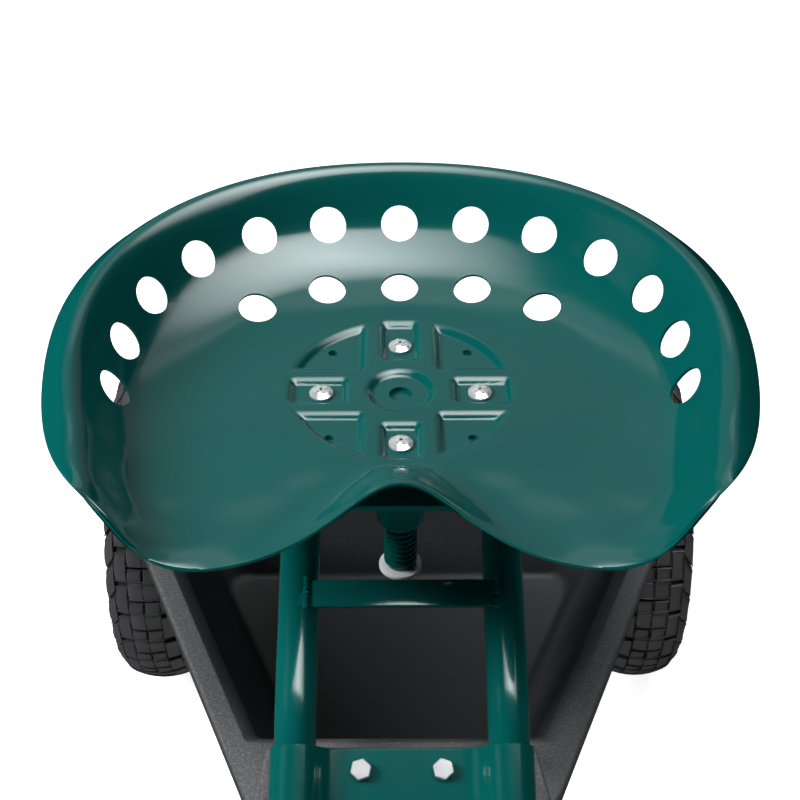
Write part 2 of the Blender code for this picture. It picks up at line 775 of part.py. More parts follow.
def frame_tubes(frame):
    """Both tubes, and a cutter round each that leaves the fit in what is welded or clamped to it."""
    clearances = []
    for side, x in (("left", -TUBE_X), ("right", TUBE_X)):
        path = rounded_path(tube_corners(x), BEND_RADIUS, BEND_STEPS)
        place(pipe("frame_tube_" + side, path, TUBE_RADIUS, GREEN_PAINT), frame)
        wide = pipe("tube_room_" + side, path, TUBE_RADIUS + GAP, GREEN_PAINT)
        clearances.append(place(as_cutter(meshed(wide, "tube_clearance_" + side)), frame))
    return clearances


def slope_place(ahead):
    """The point of the sloping tubes' centre line this far ahead of the post."""
    return (0, -ahead, TUBE_TOP_HEIGHT - (ahead - LEVEL_AHEAD) * math.tan(TUBE_SLOPE))


def seat_plate(frame):
    half = TUBE_X + TUBE_RADIUS + PLATE_OVERHANG
    corners = [(-half, -PLATE_AHEAD), (half, -PLATE_AHEAD), (half, PLATE_BEHIND), (-half, PLATE_BEHIND)]
    outline = rounded_outline(corners, PLATE_CORNER, 3)
    hole = circle(COLLAR_RADIUS + GAP, 24)
    sheet = plate("seat_plate", outline, [hole], PLATE_THICKNESS, GREEN_PAINT)
    place(sheet, frame, (0, 0, PLATE_FOOT + PLATE_THICKNESS / 2))


def screw_collar(frame):
    head_foot = PLATE_TOP + GAP
    head_top = head_foot + COLLAR_HEAD_HEIGHT
    profile = [
        (COLLAR_BORE, head_top),
        (COLLAR_HEAD_RADIUS, head_top),
        (COLLAR_HEAD_RADIUS, head_foot),
        (COLLAR_RADIUS, head_foot),
        (COLLAR_RADIUS, COLLAR_FOOT + COLLAR_CHAMFER),
        ((COLLAR_RADIUS + COLLAR_BORE) / 2, COLLAR_FOOT),
        (COLLAR_BORE, COLLAR_FOOT),
    ]
    place(turned("screw_collar", profile, GREEN_PAINT, 24, closed=True), frame)


def front_crossbar(frame, clearances):
    bar = box("front_crossbar", (TUBE_SPACING, CROSSBAR_WIDTH, CROSSBAR_THICKNESS), GREEN_PAINT)
    up = Vector((0, -math.sin(TUBE_SLOPE), math.cos(TUBE_SLOPE))) * CROSSBAR_LEVEL
    place(bar, frame, Vector(slope_place(CROSSBAR_AHEAD)) + up, (TUBE_SLOPE, 0, 0))
    for tool in clearances:
        cut(bar, tool)


def strap_centre():
    """Middle of the strap's width, on the slope of the tubes' centre lines."""
    down = Vector((0, math.cos(TUBE_SLOPE), math.sin(TUBE_SLOPE))) * (STRAP_WIDTH / 2)
    return Vector(slope_place(STRAP_AHEAD)) - down


def strap_line():
    """Middle line of the strap's section on the right: over the tube, then down to the flat."""
    radius = TUBE_RADIUS + GAP + STRAP_THICKNESS / 2
    flat = STRAP_FLAT_LEVEL + STRAP_THICKNESS / 2
    points = []
    steps = 12
    start, end = -STRAP_SKIRT, math.pi - STRAP_LEAVE
    for i in range(steps + 1):
        turn = start + (end - start) * i / steps
        points.append((TUBE_X + radius * math.cos(turn), radius * math.sin(turn)))
    leave_x, leave_z = points[-1]
    bend = (leave_z - flat) / (1 - math.sin(STRAP_LEAVE))
    centre_x = leave_x - bend * math.cos(STRAP_LEAVE)
    for i in range(1, 5):
        turn = STRAP_LEAVE + (math.pi / 2 - STRAP_LEAVE) * i / 4
        points.append((centre_x + bend * math.cos(turn), flat + bend * (1 - math.sin(turn))))
    return points


def tube_strap(frame):
    """Saddle plate over both tubes: a section drawn along the slope, given its thickness."""
    right = strap_line()
    line = right + [(-x, z) for x, z in reversed(right)]
    bm = bmesh.new()
    ends = []
    for y in (-STRAP_WIDTH / 2, STRAP_WIDTH / 2):
        ends.append([bm.verts.new((x, y, z)) for x, z in line])
    for i in range(len(line) - 1):
        bm.faces.new((ends[0][i], ends[1][i], ends[1][i + 1], ends[0][i + 1]))
    strap = mesh_object("tube_strap", bm, GREEN_PAINT, round_piece=True)
    solidify(strap, STRAP_THICKNESS, 0)
    place(strap, frame, strap_centre(), (TUBE_SLOPE, 0, 0))
    for tool in strap_holes(frame):
        cut(strap, tool)


def strap_bolt_places():
    y = STRAP_WIDTH / 2 - STRAP_BOLT_DOWN
    return (("left", -STRAP_BOLT_SPACING / 2, y), ("right", STRAP_BOLT_SPACING / 2, y))


def strap_holes(frame):
    tools = []
    for side, x, y in strap_bolt_places():
        name = "strap_hole_" + side
        tool = bpy.data.objects.get(name)
        if tool is None:
            deep = SADDLE_DEPTH
            tool = as_cutter(rod(name, BOLT_RADIUS + HOLE_GAP, -2 * deep, deep, GREEN_PAINT, 12))
            turn = Matrix.Rotation(TUBE_SLOPE, 3, "X")
            place(tool, frame, strap_centre() + turn @ Vector((x, y, 0)), (TUBE_SLOPE, 0, 0))
        tools.append(tool)
    return tools


def strap_bolts(frame):
    turn = Matrix.Rotation(TUBE_SLOPE, 3, "X")
    head = STRAP_FLAT_LEVEL + STRAP_THICKNESS + GAP
    nut_top = -SADDLE_DEPTH - GAP
    length = head - nut_top + NUT_HEIGHT + BOLT_PAST_NUT
    for side, x, y in strap_bolt_places():
        bolt = hex_bolt("strap_bolt_" + side, BOLT_FLATS, BOLT_HEAD_HEIGHT, BOLT_RADIUS, length, ZINC)
        place(bolt, frame, strap_centre() + turn @ Vector((x, y, head)), (TUBE_SLOPE, 0, 0))
        nut = hex_nut("strap_nut_" + side, BOLT_FLATS, NUT_HEIGHT, BOLT_RADIUS + GAP, ZINC)
        middle = nut_top - NUT_HEIGHT / 2
        place(nut, frame, strap_centre() + turn @ Vector((x, y, middle)), (TUBE_SLOPE, 0, 0))


def tray_ring(front, back, side, height, radius):
    """One level of the tray: the mouth's outline let out by front, back and side."""
    front_y = -TRAY_FRONT_AHEAD - front
    back_y = TRAY_BACK_BEHIND + back
    across = side * math.hypot(1, TRAY_FLARE)
    front_half = TRAY_FRONT_HALF - front * TRAY_FLARE + across
    back_half = TRAY_BACK_HALF + back * TRAY_FLARE + across
    corners = [(-front_half, front_y), (front_half, front_y), (back_half, back_y), (-back_half, back_y)]
    return [(x, y, height) for x, y in rounded_outline(corners, radius, TRAY_CORNER_STEPS)]


def tray_rings():
    """Levels from the foot of the skirt, over the rim and down the walls to the floor."""
    rim = (TRAY_FRONT_LEDGE, TRAY_BACK_RIM, TRAY_SIDE_RIM)
    low = -TRAY_LEAN
    edge = TRAY_EDGE
    mouth = -MOUTH_CHAMFER
    return [
        tray_ring(*rim, TRAY_RIM_HEIGHT - TRAY_SKIRT, TRAY_CORNER),
        tray_ring(*rim, TRAY_RIM_HEIGHT - edge, TRAY_CORNER),
        tray_ring(*[reach - edge for reach in rim], TRAY_RIM_HEIGHT, TRAY_CORNER - edge),
        tray_ring(0, 0, 0, TRAY_RIM_HEIGHT, MOUTH_CORNER),
        tray_ring(mouth, mouth, mouth, TRAY_RIM_HEIGHT - MOUTH_DROP, MOUTH_CORNER),
        tray_ring(low + edge, low + edge, low + edge, TRAY_FLOOR_HEIGHT + 3 * edge, TRAY_CORNER / 2),
        tray_ring(low - edge, low - edge, low - edge, TRAY_FLOOR_HEIGHT, TRAY_CORNER / 2),
    ]


def tray_saddle(frame):
    """The moulded saddle on the tray's front ledge, which the strap holds the tubes down to."""
    top = STRAP_FLAT_LEVEL - GAP
    size = (2 * SADDLE_HALF, SADDLE_LENGTH, SADDLE_DEPTH + top)
    saddle = as_cutter(box("tray_saddle", size, TRAY_PLASTIC, (0, 0, (top - SADDLE_DEPTH) / 2)))
    return place(saddle, frame, strap_centre(), (TUBE_SLOPE, 0, 0))


def tool_tray(frame, clearances):
    bm = bmesh.new()
    levels = [[bm.verts.new(point) for point in level] for level in tray_rings()]
    for outer, inner in zip(levels, levels[1:]):
        for i in range(len(outer)):
            j = (i + 1) % len(outer)
            bm.faces.new((outer[i], outer[j], inner[j], inner[i]))
    bm.faces.new(levels[-1])
    tray = mesh_object("tool_tray", bm, TRAY_PLASTIC, round_piece=True)
    solidify(tray, TRAY_WALL, -1)
    join(tray, tray_saddle(frame))
    for tool in clearances + strap_holes(frame) + hanger_holes(frame):
        cut(tray, tool)
    place(tray, frame)


def hanger_bolt_places():
    return (("left", -HANGER_BOLT_SPACING / 2), ("right", HANGER_BOLT_SPACING / 2))


def hanger_holes(frame):
    tools = []
    for side, x in hanger_bolt_places():
        name = "hanger_hole_" + side
        tool = bpy.data.objects.get(name)
        if tool is None:
            tool = as_cutter(rod(name, BOLT_RADIUS + HOLE_GAP, -TRAY_SKIRT, TRAY_SKIRT, GREEN_PAINT, 12))
            place(tool, frame, (x, HANGER_BEHIND, TRAY_RIM_HEIGHT))
        tools.append(tool)
    return tools


def tray_hanger(frame, clearances):
    """Flat bar on the tray's back rim, with an upright under each tube."""
    width = 2 * TUBE_X + HANGER_THICKNESS
    bar = box(
        "tray_hanger",
        (width, HANGER_WIDTH, HANGER_THICKNESS),
        GREEN_PAINT,
        (0, 0, HANGER_THICKNESS / 2),
    )
    rise = TUBE_TOP_HEIGHT - HANGER_FOOT
    for side, x in (("left", -TUBE_X), ("right", TUBE_X)):
        size = (HANGER_THICKNESS, HANGER_WIDTH, rise)
        upright = as_cutter(box("hanger_upright_" + side, size, GREEN_PAINT, (x, 0, rise / 2)))
        join(bar, place(upright, frame, (0, HANGER_BEHIND, HANGER_FOOT)))
    for tool in clearances:
        cut(bar, over_tube(frame, tool))
    for tool in hanger_holes(frame):
        cut(bar, tool)
    place(bar, frame, (0, HANGER_BEHIND, HANGER_FOOT))
    head = HANGER_FOOT + HANGER_THICKNESS + GAP
    nut_top = TRAY_RIM_HEIGHT - TRAY_WALL - GAP
    length = head - nut_top + NUT_HEIGHT + BOLT_PAST_NUT
    for side, x in hanger_bolt_places():
        bolt = hex_bolt("hanger_bolt_" + side, BOLT_FLATS, BOLT_HEAD_HEIGHT, BOLT_RADIUS, length, ZINC)
        place(bolt, frame, (x, HANGER_BEHIND, head))
        nut = hex_nut("hanger_nut_" + side, BOLT_FLATS, NUT_HEIGHT, BOLT_RADIUS + GAP, ZINC)
        place(nut, frame, (x, HANGER_BEHIND, nut_top - NUT_HEIGHT / 2))


def over_tube(frame, clearance):
    """The space of a tube and of all that lies straight above it, so that an upright ends under the tube."""
    name = clearance.name + "_above"
    size = (4 * HANGER_THICKNESS, 3 * HANGER_WIDTH, TUBE_TOP_HEIGHT)
    above = as_cutter(box(name, size, GREEN_PAINT, (0, 0, TUBE_TOP_HEIGHT / 2)))
    x = -TUBE_X if clearance.name.endswith("left") else TUBE_X
    fall = (TUBE_TOP_HEIGHT - REAR_SHOULDER_HEIGHT) / (REAR_AXLE_BEHIND - LEVEL_BEHIND)
    height = TUBE_TOP_HEIGHT - (HANGER_BEHIND - LEVEL_BEHIND) * fall
    place(above, frame, (x, HANGER_BEHIND, height), (-math.atan(fall), 0, 0))
    join(above, clearance)
    return above


def axle_beam(name, parent, depth, height, ahead=0.0):
    beam = box(name, (2 * BEAM_HALF, depth, height), GREEN_PAINT)
    bevel(beam, BEAM_EDGE)
    place(beam, parent, (0, ahead, BEAM_FOOT + height / 2))


def axle(name, parent, behind=0.0):
    bar = rod(name, AXLE_RADIUS, -AXLE_HALF, AXLE_HALF, DARK_STEEL, 20)
    place(bar, parent, (0, behind, AXLE_HEIGHT), (0, math.pi / 2, 0))


def axle_cap(name, parent, side, behind=0.0):
    """A domed cap pressed on the end of an axle, beside the hub."""
    foot = 0.0
    top = AXLE_CAP_LENGTH
    bore_top = AXLE_CAP_LENGTH - AXLE_CAP_END
    bore = AXLE_RADIUS + GAP
    profile = [
        (0, top),
        (AXLE_CAP_RADIUS * 0.6, top - AXLE_CAP_END * 0.3),
        (AXLE_CAP_RADIUS, top - AXLE_CAP_END * 2),
        (AXLE_CAP_RADIUS, foot),
        (bore, foot),
        (bore, bore_top),
        (0, bore_top),
    ]
    cap = turned(name, profile, ZINC, 14)
    x = side * (WHEEL_X + HUB_LENGTH / 2 + RUNNING_GAP)
    place(cap, parent, (x, behind, AXLE_HEIGHT), (0, side * math.pi / 2, 0))


def wheel(name, hub):
    """Tyre, rim and bush about the hub's empty."""
    half = TYRE_WIDTH / 2
    tread = TREAD_WIDTH / 2
    seat = RIM_RADIUS + GAP
    bead = RIM_WIDTH / 2 - RIM_WALL - GAP
    shoulder = TYRE_RADIUS - TREAD_DROP
    bulge = RIM_RADIUS + (TYRE_RADIUS - RIM_RADIUS) * 0.55
    side_line = [
        (TYRE_RADIUS, tread * 0.5),
        (shoulder, tread),
        (bulge, half),
        (RIM_RADIUS + RIM_FLANGE + 2 * GAP, RIM_WIDTH / 2),
        (RIM_RADIUS + RIM_FLANGE + 2 * GAP, bead),
        (seat, bead),
    ]
    profile = [(r, -z) for r, z in side_line]
    profile = [(r, z) for r, z in reversed(side_line)] + profile
    lay = (0, math.pi / 2, 0)
    half_side = math.pi / TYRE_SIDES
    tyre = turned(name + "_tyre", profile, RUBBER, TYRE_SIDES, closed=True, first_side=half_side)
    place(tyre, hub, rotation=lay)
    place(turned(name + "_rim", rim_profile(), BLACK_PAINT, 20, closed=True), hub, rotation=lay)
    bush = ring(name + "_bush", BUSH_BORE, BUSH_RADIUS, -HUB_LENGTH / 2, HUB_LENGTH / 2, NYLON, 14)
    place(bush, hub, rotation=lay)


def rim_profile():
    """Hub, web and rim as one closed section."""
    bore = BUSH_RADIUS + GAP
    hub = HUB_LENGTH / 2
    edge = RIM_WIDTH / 2
    web = RIM_WALL / 2
    well = RIM_RADIUS - RIM_WALL
    flange = RIM_RADIUS + RIM_FLANGE
    outer = edge - RIM_WALL
    return [
        (bore, hub),
        (HUB_RADIUS, hub),
        (HUB_RADIUS, web),
        (well, web),
        (well, edge),
        (flange, edge),
        (flange, outer),
        (RIM_RADIUS, outer),
        (RIM_RADIUS, -outer),
        (flange, -outer),
        (flange, -edge),
        (well, -edge),
        (well, -web),
        (HUB_RADIUS, -web),
        (HUB_RADIUS, -hub),
        (bore, -hub),
    ]


def steering_head(frame):
    half = TUBE_X + TUBE_RADIUS + PLATE_OVERHANG
    front = -HEAD_PLATE_LENGTH / 2
    back = HEAD_PLATE_LENGTH / 2
    corners = [(-half, front), (half, front), (half, back), (-half, back)]
    hole = circle(SLEEVE_RADIUS + GAP, 24)
    outline = rounded_outline(corners, PLATE_CORNER, 3)
    sheet = plate("head_plate", outline, [hole], HEAD_PLATE_THICKNESS, GREEN_PAINT)
    place(sheet, frame, (0, -FRONT_AXLE_AHEAD, HEAD_PLATE_TOP - HEAD_PLATE_THICKNESS / 2))
    sleeve = ring("head_sleeve", KINGPIN_RADIUS + GAP, SLEEVE_RADIUS, SLEEVE_FOOT, SLEEVE_TOP, GREEN_PAINT)
    place(sleeve, frame, (0, -FRONT_AXLE_AHEAD, 0))


def kingpin(steering):
    foot = FRONT_BEAM_TOP + GAP
    shoulder = foot + KINGPIN_FOOT_HEIGHT
    top = KINGPIN_NUT_FOOT + KINGPIN_NUT_HEIGHT + KINGPIN_PAST_NUT
    profile = [
        (0, top),
        (KINGPIN_RADIUS, top),
        (KINGPIN_RADIUS, shoulder),
        (KINGPIN_FOOT_RADIUS, shoulder),
        (KINGPIN_FOOT_RADIUS, foot),
        (0, foot),
    ]
    place(turned("kingpin", profile, DARK_STEEL, 20), steering)
    bore = KINGPIN_RADIUS + GAP
    washer_top = THRUST_FOOT + THRUST_WASHER_THICKNESS
    washer = ring("thrust_washer", bore, SLEEVE_RADIUS, THRUST_FOOT, washer_top, ZINC)
    place(washer, steering)
    nut = hex_nut("kingpin_nut", KINGPIN_NUT_FLATS, KINGPIN_NUT_HEIGHT, bore, ZINC)
    place(nut, steering, (0, 0, KINGPIN_NUT_FOOT + KINGPIN_NUT_HEIGHT / 2))


def handle_bracket(steering):
    """A bent plate on the front of the axle beam, with an ear each side of the handle."""
    middle = EAR_INNER + BRACKET_THICKNESS / 2
    back = -BEAM_FRONT - GAP - BRACKET_THICKNESS / 2
    front = -PIVOT_AHEAD - BRACKET_PAST_PIVOT
    line = [(-middle, front), (-middle, back), (middle, back), (middle, front)]
    low = PIVOT_HEIGHT - FRONT_BEAM_HEIGHT / 2
    high = PIVOT_HEIGHT + FRONT_BEAM_HEIGHT / 2
    bm = bmesh.new()
    ends = [[bm.verts.new((x, y, z)) for x, y in line] for z in (low, high)]
    for i in range(len(line) - 1):
        bm.faces.new((ends[0][i], ends[0][i + 1], ends[1][i + 1], ends[1][i]))
    bracket = mesh_object("handle_bracket", bm, GREEN_PAINT)
    solidify(bracket, BRACKET_THICKNESS, 0)
    bracket.modifiers["wall"].use_even_offset = True
    hole = as_cutter(rod("pivot_hole", PIVOT_BOLT_RADIUS + GAP, -2 * EAR_OUTER, 2 * EAR_OUTER, GREEN_PAINT))
    place(hole, steering, (0, -PIVOT_AHEAD, PIVOT_HEIGHT), (0, math.pi / 2, 0))
    cut(bracket, hole)
    place(bracket, steering)
    across = (0, math.pi / 2, 0)
    length = 2 * (EAR_OUTER + GAP) + PIVOT_NUT_HEIGHT + BOLT_PAST_NUT
    bolt = hex_bolt("pivot_bolt", PIVOT_BOLT_FLATS, PIVOT_BOLT_HEAD, PIVOT_BOLT_RADIUS, length, ZINC)
    place(bolt, steering, (EAR_OUTER + GAP, -PIVOT_AHEAD, PIVOT_HEIGHT), across)
    nut = hex_nut("pivot_nut", PIVOT_BOLT_FLATS, PIVOT_NUT_HEIGHT, PIVOT_BOLT_RADIUS + GAP, ZINC)
    x = -EAR_OUTER - GAP - PIVOT_NUT_HEIGHT / 2
    place(nut, steering, (x, -PIVOT_AHEAD, PIVOT_HEIGHT), across)


def handle_tube(handle):
    """The lower tube, drilled for the pivot bolt and for the knob's stem, and the clamp at its top."""
    tube = ring("handle_tube", HANDLE_BORE, HANDLE_RADIUS, -HANDLE_FOOT, HANDLE_LENGTH, GREEN_PAINT)
    pivot = as_cutter(rod("handle_pivot_hole", PIVOT_BOLT_RADIUS + GAP, -EAR_OUTER, EAR_OUTER, GREEN_PAINT))
    cut(tube, place(pivot, handle, rotation=(0, math.pi / 2, 0)))
    stem = as_cutter(rod("stem_hole", KNOB_STEM_RADIUS + GAP, 0, 2 * CLAMP_RADIUS, GREEN_PAINT))
    cut(tube, place(stem, handle, (0, 0, KNOB_PLACE), (0, math.pi / 2, 0)))
    place(tube, handle)
    foot = CLAMP_TOP - CLAMP_LENGTH
    clamp = ring("handle_clamp", HANDLE_RADIUS + GAP, CLAMP_RADIUS, foot, CLAMP_TOP, BLACK_PAINT)
    cut(clamp, stem)
    place(clamp, handle)


def lock_knob(knob):
    """A lobed knob on a short stem that presses on the sliding tube."""
    tip = SLIDER_RADIUS + GAP
    start = CLAMP_RADIUS + KNOB_NECK
    outline = []
    points = 4 * KNOB_LOBES
    for i in range(points):
        turn = 2 * math.pi * i / points
        radius = KNOB_RADIUS * (0.93 + 0.07 * math.cos(KNOB_LOBES * turn))
        outline.append((radius * math.cos(turn), radius * math.sin(turn)))
    flat = plate("knob_outline", outline, [], KNOB_LENGTH, BLACK_PAINT)
    place(flat, None, (0, 0, start + KNOB_LENGTH / 2))
    head = meshed(flat, "lock_knob")
    head.data.transform(head.matrix_world)
    head.matrix_world = Matrix.Identity(4)
    stem = as_cutter(rod("knob_stem", KNOB_STEM_RADIUS, tip, start + KNOB_LENGTH / 2, DARK_STEEL))
    join(head, place(stem, knob, rotation=(0, math.pi / 2, 0)))
    place(head, knob, rotation=(0, math.pi / 2, 0))


def sliding_handle(slider):
    place(rod("handle_slider", SLIDER_RADIUS, SLIDER_START, SLIDER_END, ZINC, 20), slider)
    bore = SLIDER_RADIUS + GAP
    outer = bore + GRIP_SOCKET_WALL
    half = GRIP_LENGTH / 2
    grip = rod("handle_grip", GRIP_RADIUS, -half, half, RUBBER, 20)
    bevel(grip, GRIP_ROUNDING)
    foot = SLIDER_END - GRIP_SOCKET_LENGTH
    socket = as_cutter(rod("grip_socket", outer, foot, GRIP_CENTRE, RUBBER, 20))
    hollow = as_cutter(rod("grip_hollow", bore, foot - bore, SLIDER_END + GAP, RUBBER, 20))
    join(grip, place(socket, slider))
    cut(grip, place(hollow, slider))
    place(grip, slider, (0, 0, GRIP_CENTRE), (0, math.pi / 2, 0))


def build():
    frame = joint_empty("frame_base", None, (0, POST_Y, 0))
    lift = joint_empty("lift_axis", frame, (0, 0, 0))
    seat = joint_empty("seat_axis", lift, (0, 0, 0))
    steering = joint_empty("steering_axis", frame, (0, -FRONT_AXLE_AHEAD, 0))
    handle = joint_empty("handle_pivot", steering, (0, -PIVOT_AHEAD, PIVOT_HEIGHT), HANDLE_LEAN)
    slider = joint_empty("slider_axis", handle, (0, 0, 0))
    knob = joint_empty("knob_axis", handle, (0, 0, KNOB_PLACE))

    seat_pan(seat)
    seat_screws(seat)
    seat_flange(seat)
    lift_screw(seat)
    screw_end(lift, seat)

    clearances = frame_tubes(frame)
    seat_plate(frame)
    screw_collar(frame)
    front_crossbar(frame, clearances)
    tube_strap(frame)
    strap_bolts(frame)
    tool_tray(frame, clearances)
    tray_hanger(frame, clearances)
    steering_head(frame)

    axle_beam("rear_axle_beam", frame, REAR_BEAM_DEPTH, REAR_BEAM_HEIGHT, REAR_AXLE_BEHIND)
    axle("rear_axle", frame, REAR_AXLE_BEHIND)
    axle_beam("front_axle_beam", steering, FRONT_BEAM_DEPTH, FRONT_BEAM_HEIGHT)
    axle("front_axle", steering)
    for name, side in (("left", -1), ("right", 1)):
        axle_cap("rear_axle_cap_" + name, frame, side, REAR_AXLE_BEHIND)
        axle_cap("front_axle_cap_" + name, steering, side)
        rear = joint_empty("rear_hub_" + name, frame, (side * WHEEL_X, REAR_AXLE_BEHIND, AXLE_HEIGHT))
        wheel("rear_" + name, rear)
        front = joint_empty("front_hub_" + name, steering, (side * WHEEL_X, 0, AXLE_HEIGHT))
        wheel("front_" + name, front)

    kingpin(steering)
    handle_bracket(steering)
    handle_tube(handle)
    lock_knob(knob)
    sliding_handle(slider)
    bpy.context.view_layer.update()


build()
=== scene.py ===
"""Looks of the rolling garden seat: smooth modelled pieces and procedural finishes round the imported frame.

Metres, +Z up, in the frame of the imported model. The seat faces -Y."""

from functools import cache
from math import atan2, copysign, cos, degrees, hypot, pi, radians, sin, sqrt, tan

import bmesh
import bpy
import numpy as np
from mathutils import Matrix, Vector
from mathutils.bvhtree import BVHTree


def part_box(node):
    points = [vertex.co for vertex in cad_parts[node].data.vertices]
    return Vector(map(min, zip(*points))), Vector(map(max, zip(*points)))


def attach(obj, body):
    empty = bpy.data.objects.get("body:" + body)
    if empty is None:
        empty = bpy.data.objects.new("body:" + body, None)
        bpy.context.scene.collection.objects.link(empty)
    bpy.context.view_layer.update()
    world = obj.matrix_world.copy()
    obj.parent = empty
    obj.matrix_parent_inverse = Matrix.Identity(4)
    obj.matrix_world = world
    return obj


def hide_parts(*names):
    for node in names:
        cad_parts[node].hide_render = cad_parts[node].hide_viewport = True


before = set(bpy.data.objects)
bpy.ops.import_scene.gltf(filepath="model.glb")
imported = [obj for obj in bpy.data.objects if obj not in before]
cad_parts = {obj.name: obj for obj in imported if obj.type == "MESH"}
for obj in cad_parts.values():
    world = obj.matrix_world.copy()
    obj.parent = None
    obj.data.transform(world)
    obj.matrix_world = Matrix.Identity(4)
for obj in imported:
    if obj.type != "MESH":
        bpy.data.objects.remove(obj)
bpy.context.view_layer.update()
shift = Matrix.Translation


def middle(node):
    low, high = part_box(node)
    return (low + high) / 2


# Clearance between pieces, as in the solids, and the two sides
GAP = 0.0003
SIDES = (("left", -1), ("right", 1))

# Widths of eased edges, and the nearness at which points become one
FINE_EDGE = 0.0005
LIGHT_EDGE = 0.0006
EDGE = 0.0007
FULL_EDGE = 0.0008
SOFT_EDGE = 0.001
NEAR = 0.00001

# Frame tubes
TUBE_RADIUS = 0.011
TUBE_X = middle("frame_tube_right").x
TUBE_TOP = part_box("frame_tube_right")[1].z - TUBE_RADIUS
TUBE_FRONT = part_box("frame_tube_right")[0].y
HEAD_PLATE_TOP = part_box("head_plate")[1].z
TUBE_FRONT_LEVEL = HEAD_PLATE_TOP + GAP + TUBE_RADIUS
LEVEL_AHEAD = 0.030
LEVEL_BEHIND = 0.140
SLOPE_RUN = 0.2778
SHOULDER_DROP = 0.0827
BEND_RADIUS = 0.050
TUBE_END_EDGE = 0.0012
SLOPE = atan2(TUBE_TOP - TUBE_FRONT_LEVEL, SLOPE_RUN)
TO_SLOPE = Matrix.Rotation(SLOPE, 4, "X")
TO_SIDE = Matrix.Rotation(pi / 2, 4, "Y")

# The slight knee of the tubes between crossbar and strap: its place, and its height above the slope
KNEE_AHEAD = 0.132
KNEE_RISE = 0.007
KNEE_RADIUS = 0.080
KNEE_FOOT_AHEAD = 0.153
PLATE_BEND_AHEAD = 0.012

# Weld beads: their radii, the depth and beat of their ripples, how far they stand out of a joint,
# and where the head weld starts and ends
WELD_RADIUS = 0.0022
HEAD_WELD_RADIUS = 0.0024
CROSSBAR_WELD_RADIUS = 0.0020
SLEEVE_WELD_RADIUS = 0.0023
WELD_RIPPLE = 0.12
WELD_BEAT = 2.4
WELD_OUT = 0.0008
ROUND_WELD_OUT = 0.0006
POST_WELD_OUT = 0.001
HEAD_WELD = (0.006, 0.070)

# Seat pan
POST_Y = middle("seat_flange").y
SHEET = 0.002
POCKET_DEPTH = 0.003
POCKET_RUN = 0.0052
POCKET_ROUNDING = 1.8
POCKET_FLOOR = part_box("seat_flange")[1].z + SHEET + GAP
SEAT_HEIGHT = POCKET_FLOOR + POCKET_DEPTH
FLAT_RADIUS = 0.0625
CENTRE_HOLE = 0.0063
PAN_STEPS = 336
FLAT_RINGS = 60
WALL_RINGS = 72
DISH_RADIUS = 0.0205
POCKET_HALF = 0.013
POCKET_CORNER = 0.0055
POCKET_START = 0.0265
MEDALLION_RADIUS = 0.0632
MEDALLION_BACK = 0.0035
QUARTER_INSET = 0.0175
DRAIN_HOLE = 0.011
SMALL_HOLE = 0.00275
SMALL_HOLE_CIRCLE = 0.054
HEM_DROP = 0.002
# Steps of the hem round the lip: how far inward, and the share of the drop
HEM_STEPS = ((-0.0002, 0.35), (0.0006, 0.65))
# The wall is smoothed from the first share of the flat's radius, and the pressing ends at the other
SMOOTHED_FROM = 1.02
PRESSED_TO = 1.12
SMOOTHING_ROUNDS = 10
# Screw heads: skirt, dome and the cross on it, in shares of their radius and height, with turns in radians
PAN_HEAD_SKIRT = 0.35
PAN_HEAD_DOME = 0.9
PAN_HEAD_TURN = 1.2
CROSS_LENGTH = 1.15
CROSS_WIDTH = 0.24
CROSS_HEIGHT = 0.9
CROSS_LEVEL = 0.62
CROSS_TURN = 0.5

# Sections of the pan from the front round to the back: bearing in degrees (0 right, 90 back),
# reach of the lip, then the height above the flat at each place from the flat to the lip, in millimetres
SECTION_PLACES = (0.0, 0.37, 0.65, 0.89, 1.0)
SECTIONS = (
    (-90, 97.5, 8.0, 13.0, 16.8, 17.6),
    (-77, 106.0, 3.0, 6.6, 8.5, 8.6),
    (-66, 132.0, -1.5, -1.9, -1.5, -1.9),
    (-55, 162.0, -2.5, -4.2, -5.0, -5.9),
    (-49, 176.3, -2.2, -3.7, -3.4, -2.8),
    (-45, 183.8, -2.0, -3.1, 1.0, 6.5),
    (-41, 188.0, -1.7, -2.6, 14.0, 19.5),
    (-36, 191.2, -1.4, -1.2, 26.2, 26.0),
    (-28, 192.5, -1.0, 0.9, 30.2, 26.4),
    (-20, 191.2, -0.5, 2.4, 33.4, 26.2),
    (-8, 188.5, 0.0, 3.5, 36.5, 29.5),
    (8, 187.5, 1.0, 9.0, 44.0, 35.5),
    (25, 185.5, 3.0, 16.0, 49.5, 40.0),
    (42, 180.0, 5.0, 21.0, 53.0, 43.0),
    (62, 172.0, 6.5, 24.0, 55.0, 44.5),
    (90, 165.0, 6.5, 24.5, 55.5, 45.0),
)
# At each front corner the wall's foot and crest move out to the lip, by a share of the section
CORNER_BEARING = -38
CORNER_SPAN = 22
CORNER_SHIFT = 0.095
CORNER_FADE = 4
# Rows of drain holes: holes on each side of the back one, step and ease in degrees, inset from the lip
DRAIN_ROWS = ((6, 19.2, 0.55, 0.0345), (2, 26.3, 0.8, 0.0715))

